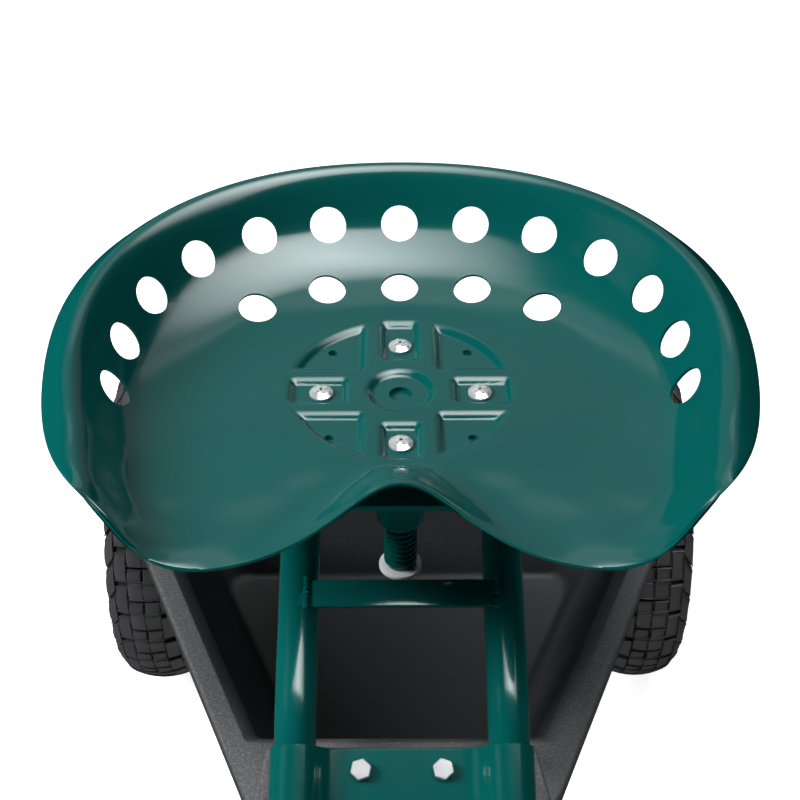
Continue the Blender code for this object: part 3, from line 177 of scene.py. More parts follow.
# Strap and its bolts, in the slope of the tubes
STRAP_AHEAD = 0.146
STRAP_WIDTH = 0.030
STRAP_THICKNESS = 0.002
STRAP_FLAT = -0.003
STRAP_EDGE = 0.0009
STRAP_LEAVE = radians(30)
STRAP_SKIRT = radians(10)
STRAP_BOLT_SPACING = 0.0426
STRAP_BOLT_DOWN = 0.0115
BOLT_FLATS = 0.010
BOLT_HEAD = 0.004
BOLT_RADIUS = 0.003
BOLT_LENGTH = 0.048
BOLT_LAP = 0.001
BOLT_TURN = radians(12)
CROSSBAR_AHEAD = 0.0755
CROSSBAR_WIDTH = 0.016
CROSSBAR_THICKNESS = 0.003
CROSSBAR_LEVEL = 0.0085
CROSSBAR_SHIFT = 0.001
CROSSBAR_TIP = radians(4)
PLATE_CORNER = 0.006
PLATE_WELD_DROP = 0.0015
PLATE_WELD_INSET = 0.010
PLATE_WELD_SPREAD = 0.62

# Tool tray
TRAY_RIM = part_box("tray_hanger")[0].z - GAP
TRAY_DEPTH = 0.100
TRAY_FLOOR = TRAY_RIM - TRAY_DEPTH
TRAY_WALL = 0.003
TRAY_FRONT_AHEAD = 0.1255
TRAY_BACK_BEHIND = 0.153
TRAY_FRONT_HALF = 0.0845
TRAY_BACK_HALF = 0.199
TRAY_FLARE = (TRAY_BACK_HALF - TRAY_FRONT_HALF) / (TRAY_FRONT_AHEAD + TRAY_BACK_BEHIND)
TRAY_LEAN = 0.050
TRAY_SIDE_RIM = 0.0115
TRAY_BACK_RIM = 0.022
TRAY_LEDGE = 0.050
TRAY_SKIRT = 0.012
TRAY_CORNER = 0.030
TRAY_EDGE = 0.002
MOUTH_CORNER = 0.005
MOUTH_CHAMFER = 0.0085
MOUTH_DROP = 0.007
TRAY_CORNER_STEPS = 10
TRAY_ROUNDINGS = (0.002, 0.003, 0.006)
SADDLE_HALF = 0.0705
SADDLE_FLARE = 1.11
SADDLE_LENGTH = 0.032
SADDLE_DEPTH = 0.032
SADDLE_EDGE = 0.0025

# Wheels
TYRE_RADIUS = middle("rear_left_tyre").z
TYRE_HALF = 0.030
CROWN_HALF = 0.020
CROWN_DROP = 0.004
SHOULDER_SLOPE = 0.4
SHOULDER_CURVE = 65
FACE_START = 0.004
FACE_OVER = 0.005
GROOVE = 0.003
PITCHES = 30
BLOCK_EDGE = 0.0007
BLOCK_SINK = 0.001
BLOCK_FLARE = 1.10

# Tread blocks of one pitch on one side: from and to across, then place, length and slant in pitches
TREAD = (
    (0.0012, 0.0108, -0.23, 0.44, 0.0),
    (0.0003, 0.0108, 0.165, 0.57, 0.0),
    (0.0119, 0.0204, 0.5, 0.80, 0.0),
    (0.0212, 0.0285, 0.0, 0.82, 0.45),
)
# Sidewall: shoulder, bulge, then the foot with its ridge, as radius and inset from the tyre's side
SHOULDER = (0.1125, 0.0015)
BULGE_SHARE = 0.55
BULGE_HALF = 0.005
BULGE_INSET = 0.0002
SIDEWALL_FOOT = ((0.086, 0.0016), (0.0765, 0.0046), (0.0755, 0.0040), (0.0745, 0.0054))
TYRE_FOOT_GAP = 0.0006
TYRE_FOOT_OUT = 0.0005
RIM_RADIUS = 0.062
RIM_HALF = 0.023
RIM_FLANGE = 0.005
RIM_WALL = 0.004
RIM_BEAD = 0.003
# Pressed web of the rim: distance out from the hub, and half thickness
RIM_WEB = ((0.0, 0.0035), (0.005, 0.0022), (0.009, 0.0045), (0.024, 0.0045), (0.029, 0.0022))
RIM_WEB_FOOT = 0.0026
HUB_RADIUS = 0.016
HUB_HALF = 0.031
BUSH_RADIUS = 0.0093
AXLE_BORE = 0.0063
CAP_DOME = 0.004
CAP_SKIRT = 0.0015
CAP_GROOVE = 0.002
CAP_INSET = 0.0008

# Lift screw and its collar
COLLAR_BORE = 0.0102
COLLAR_RADIUS = 0.0141
COLLAR_HEAD = 0.018
COLLAR_CHAMFER = 0.005
COLLAR_STEP = 0.001
COLLAR_LIP = 0.0006
THREAD_CREST = 0.0099
THREAD_ROOT = 0.0080
THREAD_PITCH = 0.004
SCREW_HEAD = 0.030
SPIGOT_RADIUS = 0.006
POST_RADIUS = (THREAD_CREST + THREAD_ROOT) / 2
POST_HEAD_RADIUS = POST_RADIUS + 0.0006
POST_LAP = 0.002
CORE_RADIUS = THREAD_ROOT + 0.00005
# One turn of thread: share of the pitch and radius
THREAD = (
    (0.0, THREAD_ROOT),
    (0.30, THREAD_ROOT),
    (0.45, THREAD_CREST),
    (0.85, THREAD_CREST),
    (1.0, THREAD_ROOT),
)
THREAD_STEPS = 36
# Split pin: half length, eye, then bend and end as shares of the half length, and sizes in half thicknesses
PIN_HALF = 0.0118
PIN_EYE_LENGTH = 0.004
PIN_BEND = 0.62
PIN_END = 0.98
PIN_WIRE = 0.72
PIN_LEG = 0.5
PIN_SPREAD = 1.4
PIN_BEND_RADIUS = 1.5
PIN_EYE = 1.9
PIN_EYE_INSET = 2.7

# Steering head and handle
HEAD_BORE = 0.0083
HANDLE_LEAN = radians(50)
HANDLE_RADIUS = 0.0125
HANDLE_WALL = 0.002
HANDLE_FOOT = 0.014
HANDLE_LENGTH = 0.400
SLIDER_RADIUS = 0.0102
SLIDER_START = 0.100
SLIDER_END = 0.540
CLAMP_RADIUS = 0.0168
CLAMP_FOOT = 0.358
CLAMP_TOP = 0.398
CLAMP_CHAMFER = 0.001
CLAMP_CHAMFER_RUN = 0.004
KNOB_RADIUS = 0.015
KNOB_LENGTH = 0.012
KNOB_NECK = 0.004
KNOB_LOBES = 8
KNOB_LOBE_DEPTH = 0.07
KNOB_BUTTON = 0.007
KNOB_BUTTON_LAP = 0.001
KNOB_EDGE = 0.0018
KNOB_STEM = 0.003
KNOB_STEM_LAP = 0.002
KNOB_STEM_EDGE = 0.0003
KNOB_SKIRT = (0.0075, 0.009)
KNOB_SKIRT_LENGTH = 0.003
GRIP_RADIUS = 0.015
GRIP_HALF = 0.065
GRIP_CENTRE = 0.5553
GRIP_SOCKET = 0.0145
GRIP_SOCKET_FOOT = 0.495
GRIP_RIBS = 14
GRIP_RIB_DEPTH = 0.0012
GRIP_RIB_CREST = (0.3, 0.75)
# One end of the grip, as shares of its radius and half length, and the share that is ribbed
GRIP_END = ((0.0, 1.0), (0.6, 1.0), (0.95, 0.97), (1.0, 0.93))
GRIP_RIBBED = 0.86
PIVOT = middle("pivot_bolt")

# Camera and light
CAMERA_LENS = 67.5
CAMERA_PLACE = (-0.00368, POST_Y - 0.65055, 0.94510)
CAMERA_TURN = (radians(52), 0, radians(-0.3))
CAMERA_SENSOR = 36
# Glow of the floor and the world, and the floor's size and level
PALE = 0.85
FLOOR_HALF = 8.0
FLOOR_DROP = 0.0005
# Soft panels: place from the middle of the seat, size and power
LEFT_FILL = ((-1.7, -0.15, 1.2), (0.9, 0.9), 62)
OVERHEAD_FILL = ((0.50, -0.35, 2.2), (1.0, 1.0), 20)
OVERHEAD = ((0.25, 0.115, 1.0), (1.6, 0.96), 9.0)
OVERHEAD_AIM = (-0.22, 0.13, -0.967)
UPPER_BACK = ((0.1, 1.0, 2.1), (1.8, 0.9), 1.7)
BACKDROP = ((0.1, 2.4, 1.7), (4.0, 2.4), 5.0)


class Value:
    """A socket of a material, which takes part in sums."""

    def __init__(self, finish, socket):
        self.finish = finish
        self.socket = socket

    def sum(self, operation, first, second):
        return self.finish.node("ShaderNodeMath", {"operation": operation}, {0: first, 1: second})

    def __add__(self, other):
        return self.sum("ADD", self, other)

    def __radd__(self, other):
        return self.sum("ADD", other, self)

    def __mul__(self, other):
        return self.sum("MULTIPLY", self, other)

    def __rmul__(self, other):
        return self.sum("MULTIPLY", other, self)


class Finish:
    """One procedural material: a Principled shader and the nodes that feed it."""

    def __init__(self, name):
        self.material = bpy.data.materials.new(name)
        self.material.use_nodes = True
        self.tree = self.material.node_tree
        self.shader = self.tree.nodes["Principled BSDF"]
        self.place = self.node("ShaderNodeTexCoord", output="Object")

    def node(self, kind, settings=None, sockets=None, output=0):
        made = self.tree.nodes.new(kind)
        for name, value in (settings or {}).items():
            if name == "stops":
                self.set_stops(made.color_ramp, value)
            else:
                setattr(made, name, value)
        for name, value in (sockets or {}).items():
            self.put(made.inputs[name], value)
        return Value(self, made.outputs[output])

    def set_stops(self, ramp, stops):
        while len(ramp.elements) < len(stops):
            ramp.elements.new(1.0)
        for element, (position, shade) in zip(ramp.elements, stops):
            element.position = position
            element.color = (shade, shade, shade, 1)

    def put(self, socket, value):
        if isinstance(value, Value):
            self.tree.links.new(value.socket, socket)
        else:
            socket.default_value = value

    def shade(self, **sockets):
        for name, value in sockets.items():
            self.put(self.shader.inputs[name.replace("_", " ").title()], value)

    def noise(self, scale, detail=3.0, roughness=0.5):
        return self.node(
            "ShaderNodeTexNoise",
            {"noise_dimensions": "3D"},
            {"Vector": self.place, "Scale": scale, "Detail": detail, "Roughness": roughness},
        )

    def cells(self, scale):
        return self.node("ShaderNodeTexVoronoi", {"feature": "F1"}, {"Vector": self.place, "Scale": scale})

    def ramp(self, value, stops):
        return self.node("ShaderNodeValToRGB", {"stops": stops}, {"Fac": value})

    def mix(self, share, first, second):
        sockets = {0: share, 6: (*first, 1), 7: (*second, 1)}
        return self.node("ShaderNodeMix", {"data_type": "RGBA"}, sockets, output=2)

    def bump(self, height, distance, strength=1.0):
        sockets = {"Height": height, "Distance": distance, "Strength": strength}
        return self.node("ShaderNodeBump", None, sockets)


def green_paint():
    """Gloss green paint with a faint orange peel."""
    finish = Finish("green_paint")
    cloud = finish.noise(14.0)
    peel = finish.noise(260.0, detail=1.0)
    finish.shade(
        base_color=finish.mix(cloud, (0.0010, 0.080, 0.0745), (0.0014, 0.090, 0.0835)),
        roughness=0.10 + 0.08 * cloud,
        normal=finish.bump(peel, 0.00003, 0.5),
    )
    return finish.material


def zinc_plate(name, metallic):
    """Bright zinc plating with a little stain."""
    finish = Finish(name)
    stain = finish.noise(120.0, detail=4.0)
    fine = finish.noise(1500.0, detail=2.0)
    finish.shade(
        base_color=finish.mix(stain, (0.74, 0.76, 0.78), (0.90, 0.91, 0.92)),
        metallic=metallic,
        roughness=0.14 + 0.12 * stain,
        normal=finish.bump(fine, 0.00001, 0.4),
    )
    return finish.material


def bare_steel():
    """Dark oiled bar steel with stain."""
    finish = Finish("bare_steel")
    stain = finish.noise(90.0, detail=5.0)
    finish.shade(
        base_color=finish.mix(stain, (0.10, 0.10, 0.11), (0.22, 0.22, 0.23)),
        metallic=1.0,
        roughness=0.32 + 0.22 * stain,
        normal=finish.bump(finish.noise(1800.0), 0.00001, 0.5),
    )
    return finish.material


def tray_plastic():
    """Dark slate plastic with a coarse grain, and painted light by height: painted shade from the mouth down
    to the floor, and a painted sheen on the rim, where the grain's light specks show.
    """
    finish = Finish("tray_plastic")
    grain = finish.noise(700.0, detail=3.0, roughness=0.7)
    speck = finish.ramp(grain, ((0.46, 0.0), (0.70, 1.0)))
    cloud = finish.noise(9.0)
    # Painted shade and sheen: level darkens the colour towards the floor, where the seat casts shade, and
    # lightens it most on the rim, as a painted sheen.
    height = finish.node("ShaderNodeSeparateXYZ", None, {"Vector": finish.place}, output="Z")
    foot, mouth = TRAY_FLOOR / TRAY_RIM, 1 - MOUTH_DROP / TRAY_RIM
    stops = ((foot, 0.0), (foot + 0.08, 0.22), (mouth, 0.30), (0.998, 1.0))
    level = finish.ramp(height * (1 / TRAY_RIM), stops)
    finish.shade(
        base_color=finish.mix(level * (0.4 + 0.6 * speck), (0.010, 0.011, 0.013), (0.17, 0.17, 0.18)),
        roughness=0.48 + 0.12 * cloud,
        normal=finish.bump(grain, 0.0002, 0.6),
    )
    return finish.material


def tyre_rubber():
    """Matt dark grey rubber, a little dusty."""
    finish = Finish("tyre_rubber")
    dust = finish.noise(26.0, detail=5.0)
    grain = finish.noise(1300.0, detail=3.0)
    finish.shade(
        base_color=finish.mix(dust, (0.026, 0.026, 0.028), (0.056, 0.056, 0.059)),
        roughness=0.55 + 0.18 * dust,
        normal=finish.bump(grain, 0.0001, 0.5),
    )
    return finish.material


def black_paint():
    """Satin black paint on pressed steel."""
    finish = Finish("black_paint")
    cloud = finish.noise(40.0)
    peel = finish.noise(420.0, detail=1.0)
    finish.shade(
        base_color=finish.mix(cloud, (0.010, 0.010, 0.011), (0.018, 0.018, 0.019)),
        roughness=0.30 + 0.12 * cloud,
        normal=finish.bump(peel, 0.00003, 0.5),
    )
    return finish.material


def knob_plastic():
    """Black moulded plastic with a fine matt grain."""
    finish = Finish("knob_plastic")
    grain = finish.noise(1100.0, detail=3.0)
    finish.shade(
        base_color=finish.mix(grain, (0.011, 0.011, 0.012), (0.022, 0.022, 0.023)),
        roughness=0.42 + 0.15 * grain,
        normal=finish.bump(grain, 0.0001, 0.4),
    )
    return finish.material


def grip_rubber():
    """Soft black rubber with a pebbled skin."""
    finish = Finish("grip_rubber")
    pebble = finish.cells(700.0)
    dust = finish.noise(60.0)
    finish.shade(
        base_color=finish.mix(dust, (0.012, 0.012, 0.012), (0.026, 0.026, 0.027)),
        roughness=0.65 + 0.15 * dust,
        normal=finish.bump(pebble, 0.0002, 0.4),
    )
    return finish.material


def nylon():
    """Milky white nylon."""
    finish = Finish("nylon")
    cloud = finish.noise(80.0)
    finish.shade(
        base_color=finish.mix(cloud, (0.50, 0.50, 0.46), (0.62, 0.62, 0.58)),
        roughness=0.40 + 0.15 * cloud,
    )
    return finish.material


FINISHES = {
    "green_paint": green_paint(),
    "zinc": zinc_plate("zinc_plate", 0.6),
    "dark_steel": bare_steel(),
    "tray_plastic": tray_plastic(),
    "tyre_rubber": tyre_rubber(),
    "black_paint": black_paint(),
    "knob_plastic": knob_plastic(),
    "grip_rubber": grip_rubber(),
    "nylon": nylon(),
}
# A lit copy of the zinc for the end washer: the same colours with little metal, so the washer shows painted
# brightness under the seat.
LIT_ZINC_COPY = zinc_plate("lit_zinc_copy", 0.1)


def in_scene(name, data):
    thing = bpy.data.objects.new(name, data)
    bpy.context.scene.collection.objects.link(thing)
    return thing


def piece(name, bm, body, slot, nodes=(), sharp=40, finish=None):
    """Makes a finished piece of a bmesh, which rides on a body and may stand for CAD nodes."""
    mesh = bpy.data.meshes.new(name)
    bm.to_mesh(mesh)
    bm.free()
    mesh.shade_smooth()
    mesh.set_sharp_from_angle(angle=radians(sharp))
    crease_open_edges(mesh)
    mesh.materials.append(finish or FINISHES[slot])
    made = in_scene(name, mesh)
    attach(made, body)
    if nodes:
        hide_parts(*nodes)
    return made


def crease_open_edges(mesh):
    """Keeps a sheet's open edges crisp once a wall gives them a side."""
    bm = bmesh.new()
    bm.from_mesh(mesh)
    for edge in bm.edges:
        if edge.is_boundary:
            edge.smooth = False
    bm.to_mesh(mesh)
    bm.free()


def wall(thing, thickness, offset=-1.0):
    modifier = thing.modifiers.new("wall", "SOLIDIFY")
    modifier.thickness = thickness
    modifier.offset = offset
    modifier.use_even_offset = True


def eased_edges(thing, width, segments=2, angle=40):
    modifier = thing.modifiers.new("edges", "BEVEL")
    modifier.width = width
    modifier.segments = segments
    modifier.limit_method = "ANGLE"
    modifier.angle_limit = radians(angle)


def edges_of(geometry):
    return [part for part in geometry if isinstance(part, bmesh.types.BMEdge)]


def verts_of(geometry):
    return [part for part in geometry if isinstance(part, bmesh.types.BMVert)]


def bevelled(bm, edges, width, segments, clamp=False):
    bmesh.ops.bevel(
        bm,
        geom=edges,
        offset=width,
        segments=segments,
        profile=0.5,
        affect="EDGES",
        material=-1,
        clamp_overlap=clamp,
    )
    return bm


def soften(bm, width, segments=2, angle=30):
    """Bevels every edge that is sharper than the angle."""
    sharp = [e for e in bm.edges if e.is_manifold and e.calc_face_angle() > radians(angle)]
    return bevelled(bm, sharp, width, segments, clamp=True)


def face_outward(bm):
    bmesh.ops.recalc_face_normals(bm, faces=bm.faces)


def tidy(bm, nearness=0.000002):
    bmesh.ops.remove_doubles(bm, verts=bm.verts, dist=nearness)
    face_outward(bm)
    return bm


def moved(bm, matrix):
    bmesh.ops.transform(bm, matrix=matrix, verts=bm.verts)
    return bm


def block(size, soft=0.0):
    bm = bmesh.new()
    bmesh.ops.create_cube(bm, size=1)
    bmesh.ops.scale(bm, vec=size, verts=bm.verts)
    if soft:
        soften(bm, soft)
    return bm


def open_line(bm, places):
    """Points joined by edges in a row."""
    points = [bm.verts.new(place) for place in places]
    return points, [bm.edges.new(pair) for pair in zip(points, points[1:])]


def spun(bm, geometry, steps, angle=2 * pi, axis=(0, 0, 1), **settings):
    """Spins geometry about an axis through the origin."""
    bmesh.ops.spin(bm, geom=geometry, cent=(0, 0, 0), axis=axis, angle=angle, steps=steps, **settings)


def turned(profile, steps=48, closed=False, soft=0.0):
    """A piece turned about Z from a profile of (radius, height)."""
    bm = bmesh.new()
    points, lines = open_line(bm, [(radius, 0, height) for radius, height in profile])
    if closed:
        lines.append(bm.edges.new((points[-1], points[0])))
    spun(bm, points + lines, steps, use_merge=True)
    tidy(bm)
    if soft:
        soften(bm, soft)
    return bm


def sleeve(bore, radius, low, high, steps=48, soft=0.0004):
    profile = [(bore, low), (radius, low), (radius, high), (bore, high)]
    return turned(profile, steps, closed=True, soft=soft)


def bar(radius, low, high, steps=40, soft=LIGHT_EDGE):
    return turned([(0, low), (radius, low), (radius, high), (0, high)], steps, soft=soft)


def add(bm, other, matrix=None):
    """Adds another bmesh to this one."""
    mesh = bpy.data.meshes.new("part")
    if matrix is not None:
        moved(other, matrix)
    other.to_mesh(mesh)
    other.free()
    bm.from_mesh(mesh)
    bpy.data.meshes.remove(mesh)
    return bm


def draw(bm, edges, step):
    """Draws a ring of edges along a straight step, and gives the new ring."""
    made = bmesh.ops.extrude_edge_only(bm, edges=edges)["geom"]
    bmesh.ops.translate(bm, vec=step, verts=verts_of(made))
    return edges_of(made)


def bent_tube(corners, radius, bends, sides=36, bend_steps=14):
    """A round tube along straight runs, with a bend of its own radius at each corner between its ends."""
    bm = bmesh.new()
    start = (corners[1] - corners[0]).normalized()
    turn = start.to_track_quat("Z", "Y").to_matrix().to_4x4()
    bmesh.ops.create_circle(bm, radius=radius, segments=sides, matrix=shift(corners[0]) @ turn)
    ring = list(bm.edges)
    at = corners[0]
    for before, corner, after, bend in zip(corners, corners[1:], corners[2:], bends):
        into = (corner - before).normalized()
        out = (after - corner).normalized()
        angle = into.angle(out)
        reach = bend * tan(angle / 2)
        begin = corner - into * reach
        ring = draw(bm, ring, begin - at)
        inward = (out - into * into.dot(out)).normalized()
        swung = bmesh.ops.spin(
            bm,
            geom=ring,
            cent=begin + inward * bend,
            axis=into.cross(out).normalized(),
            angle=angle,
            steps=bend_steps,
        )
        ring = edges_of(swung["geom_last"])
        at = corner + out * reach
    draw(bm, ring, corners[-1] - at)
    bmesh.ops.holes_fill(bm, edges=bm.edges, sides=sides)
    return tidy(bm)


def weld(name, path, radius=WELD_RADIUS, body="frame", at=Matrix.Identity(4)):
    """A painted weld: a row of small overlapping ripples along a path."""
    bm = bmesh.new()
    for i, point in enumerate(path):
        size = radius * (1.0 + WELD_RIPPLE * sin(WELD_BEAT * i))
        bmesh.ops.create_icosphere(bm, subdivisions=2, radius=size, matrix=shift(point))
    piece(name, moved(bm, at), body, "green_paint", sharp=80)


def at_post(bm):
    return moved(bm, shift((0, POST_Y, 0)))


def along(start, end, count):
    start, end = Vector(start), Vector(end)
    return [start.lerp(end, i / (count - 1)) for i in range(count)]


def round_path(centre, radius, count):
    """Points of a level circle."""
    spokes = [2 * pi * i / count for i in range(count)]
    return [Vector(centre) + Vector((radius * cos(a), radius * sin(a), 0)) for a in spokes]


def dressed(node, body, slot, soft=LIGHT_EDGE):
    """A copy of a CAD node with its triangles joined, its edges eased and its round faces smooth."""
    bm = bmesh.new()
    bm.from_mesh(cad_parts[node].data)
    bmesh.ops.remove_doubles(bm, verts=bm.verts, dist=NEAR)
    bmesh.ops.dissolve_limit(bm, angle_limit=radians(1), verts=bm.verts, edges=bm.edges)
    eased_edges(piece(node + "_dressed", bm, body, slot, [node]), soft)


def clamped_curve(xs, ys, x):
    """A smooth curve through points, level at both ends. ys may hold several columns."""
    step = np.diff(xs)
    slope = np.diff(ys, axis=0) / step[:, None]
    level = np.zeros((1, ys.shape[1]))
    matrix = np.diag(step, 1) + np.diag(step, -1) + 2 * np.diag(np.append(step, 0) + np.append(0, step))
    bend = np.linalg.solve(matrix, 6 * np.diff(np.vstack([level, slope, level]), axis=0))
    i = int(np.clip(np.searchsorted(xs, x) - 1, 0, len(step) - 1))
    before, after, h = x - xs[i], xs[i + 1] - x, step[i]
    curved = (bend[i] * after**3 + bend[i + 1] * before**3) / (6 * h)
    straight = (ys[i] / h - bend[i] * h / 6) * after + (ys[i + 1] / h - bend[i + 1] * h / 6) * before
    return curved + straight


def eased(xs, ys, x):
    """A smooth curve through rising xs that never swings past its own points."""
    i = min(max(k for k in range(len(xs)) if xs[k] <= x), len(xs) - 2)
    slopes = [(ys[k + 1] - ys[k]) / (xs[k + 1] - xs[k]) for k in range(len(xs) - 1)]

    def tangent(k):
        if k in (0, len(xs) - 1):
            return slopes[min(k, len(slopes) - 1)] if k else 0.0
        before, after = slopes[k - 1], slopes[k]
        return 0.0 if before * after <= 0 else 2 * before * after / (before + after)

    h = xs[i + 1] - xs[i]
    t = (x - xs[i]) / h
    start, end, rise = tangent(i) * h, tangent(i + 1) * h, ys[i + 1] - ys[i]
    return ys[i] + t * (start + t * (3 * rise - 2 * start - end + t * (start + end - 2 * rise)))


@cache
def pan_section(bearing):
    """Reach of the pan's lip at a bearing, the heights across it, in metres, and their places."""
    folded = (bearing + 90) % 360 - 90
    if folded > 90:
        folded = 180 - folded
    rows = np.array(SECTIONS)
    values = clamped_curve(rows[:, 0], rows[:, 1:], folded) / 1000
    near = max(1 - ((folded - CORNER_BEARING) / CORNER_SPAN) ** 2, 0.0)
    outward = CORNER_SHIFT * near**CORNER_FADE
    centre, inner, foot, crest, lip = SECTION_PLACES
    return values[0], [0.0, *values[1:]], (centre, inner, foot + outward, crest + outward, lip)


def rounded_box_distance(x, y, half_x, half_y, radius):
    """Distance outside a rounded rectangle about the origin."""
    over_x, over_y = abs(x) - half_x + radius, abs(y) - half_y + radius
    return hypot(max(over_x, 0), max(over_y, 0)) + min(max(over_x, over_y), 0) - radius


def medallion_depth(x, y):
    """How far the pressed pockets in the middle of the seat lie below the sheet."""
    radius = hypot(x, y - MEDALLION_BACK)
    distances = [hypot(x, y) - DISH_RADIUS]
    for out, across, back in ((x, y, 0), (y, x, MEDALLION_BACK), (-x, y, 0), (-y, x, -MEDALLION_BACK)):
        end = MEDALLION_RADIUS + back
        centre, half = (POCKET_START + end) / 2, (end - POCKET_START) / 2
        distances.append(rounded_box_distance(out - centre, across, half, POCKET_HALF, POCKET_CORNER))
    inset = QUARTER_INSET + POCKET_CORNER
    corner = hypot(max(inset - abs(x), 0), max(inset - abs(y), 0)) - POCKET_CORNER
    quarter = max(radius - MEDALLION_RADIUS, corner, QUARTER_INSET - abs(x), QUARTER_INSET - abs(y))
    distances.append(quarter)
    share = min(max(-min(distances) / POCKET_RUN, 0.0), 1.0)
    return POCKET_DEPTH * share**POCKET_ROUNDING


def pan_surface():
    """The pan's upper face: rings drawn out from the centre hole, each set to the pan's shape."""
    bm = bmesh.new()
    bmesh.ops.create_circle(bm, radius=CENTRE_HOLE, segments=PAN_STEPS)
    ring = list(bm.edges)
    for k in range(FLAT_RINGS + WALL_RINGS + 1):
        if k:
            ring = edges_of(bmesh.ops.extrude_edge_only(bm, edges=ring)["geom"])
        for vertex in {v for edge in ring for v in edge.verts}:
            bearing = round(degrees(atan2(vertex.co.y, vertex.co.x)), 4)
            reach, heights, places = pan_section(bearing)
            share = max(k - FLAT_RINGS, 0) / WALL_RINGS
            if k <= FLAT_RINGS:
                radius = CENTRE_HOLE + (FLAT_RADIUS - CENTRE_HOLE) * k / FLAT_RINGS
            else:
                radius = FLAT_RADIUS + share * (reach - FLAT_RADIUS)
            turn = radians(bearing)
            vertex.co.x, vertex.co.y = radius * cos(turn), radius * sin(turn)
            vertex.co.z = eased(places, heights, share)
    return bm


def drain_holes():
    """Place of each drain hole: a long row round the back, and a short one inside it."""
    places = []
    for side_count, step, ease, inset in DRAIN_ROWS:
        for k in range(-side_count, side_count + 1):
            bearing = 90 + copysign(abs(k) * step - k * k * ease, k)
            radius = pan_section(bearing)[0] - inset
            turn = radians(bearing)
            places.append(Vector((radius * cos(turn), radius * sin(turn), 0)))
    return places


def pierce(bm, sheet, place, radius):
    """Opens a round hole square to the sheet, and lays its edge on the sheet's own face."""
    high = place + Vector((0, 0, 1))
    centre, normal = sheet.ray_cast(high, Vector((0, 0, -1)))[:2]

    def spoke(point):
        away = point - centre
        return away - normal * away.dot(normal)

    inside = [v for v in bm.verts if (v.co - centre).length < 2 * radius and spoke(v.co).length < radius]
    bmesh.ops.delete(bm, geom=list({f for v in inside for f in v.link_faces}), context="FACES")
    edge = [e for e in bm.edges if e.is_boundary and (e.verts[0].co - centre).length < 2 * radius]
    for vertex in {v for e in edge for v in e.verts}:
        away = spoke(vertex.co)
        above = centre + away * (radius / away.length) + normal * radius
        vertex.co = sheet.ray_cast(above, -normal)[0]


def seat_pan():
    bm = pan_surface()
    outer = [v for v in bm.verts if v.co.xy.length > FLAT_RADIUS * SMOOTHED_FROM and not v.is_boundary]
    for _ in range(SMOOTHING_ROUNDS):
        bmesh.ops.smooth_vert(bm, verts=outer, factor=0.5, use_axis_z=True)
    for vertex in bm.verts:
        if vertex.co.xy.length < FLAT_RADIUS * PRESSED_TO:
            vertex.co.z -= medallion_depth(vertex.co.x, vertex.co.y)
    face_outward(bm)
    if sum(f.normal.z for f in bm.faces) < 0:
        bmesh.ops.reverse_faces(bm, faces=bm.faces)
    rim = [e for e in bm.edges if e.is_boundary and e.verts[0].co.xy.length > FLAT_RADIUS]
    for inward, drop in HEM_STEPS:
        rim = edges_of(bmesh.ops.extrude_edge_only(bm, edges=rim)["geom"])
        for vertex in {v for e in rim for v in e.verts}:
            vertex.co.xy *= 1 - inward / vertex.co.xy.length
            vertex.co.z -= HEM_DROP * drop
    bm.normal_update()
    sheet = BVHTree.FromBMesh(bm)
    for place in drain_holes():
        pierce(bm, sheet, place, DRAIN_HOLE)
    for i in range(4):
        turn = radians(45 + 90 * i)
        pierce(bm, sheet, Vector((cos(turn), sin(turn), 0)) * SMALL_HOLE_CIRCLE, SMALL_HOLE)
    moved(bm, shift((0, POST_Y, SEAT_HEIGHT)))
    pan = piece("pressed_seat", bm, "seat", "green_paint", ["seat_pan"], sharp=60)
    wall(pan, SHEET)


def seat_screws():
    """Pan-head screws with a cross on the head."""
    foot = POCKET_FLOOR + GAP
    for side in ("back", "front", "left", "right"):
        node = "seat_screw_" + side
        low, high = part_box(node)
        radius = (high.x - low.x) / 2
        height = high.z - foot
        turns = np.linspace(0, PAN_HEAD_TURN, 7)
        dome = [(radius * sin(a), height * (1 - (1 - cos(a)) * PAN_HEAD_DOME)) for a in turns]
        bm = turned([(0.0, 0.0), (radius, 0.0), (radius, height * PAN_HEAD_SKIRT)] + dome[::-1], steps=32)
        for turn in (0, pi / 2):
            ridge = block((radius * CROSS_LENGTH, radius * CROSS_WIDTH, height * CROSS_HEIGHT))
            at = shift((0, 0, height * CROSS_LEVEL))
            add(bm, ridge, at @ Matrix.Rotation(turn + CROSS_TURN, 4, "Z"))
        moved(bm, shift((middle(node).x, middle(node).y, foot)))
        piece("pan_head_" + side, bm, "seat", "zinc", [node])


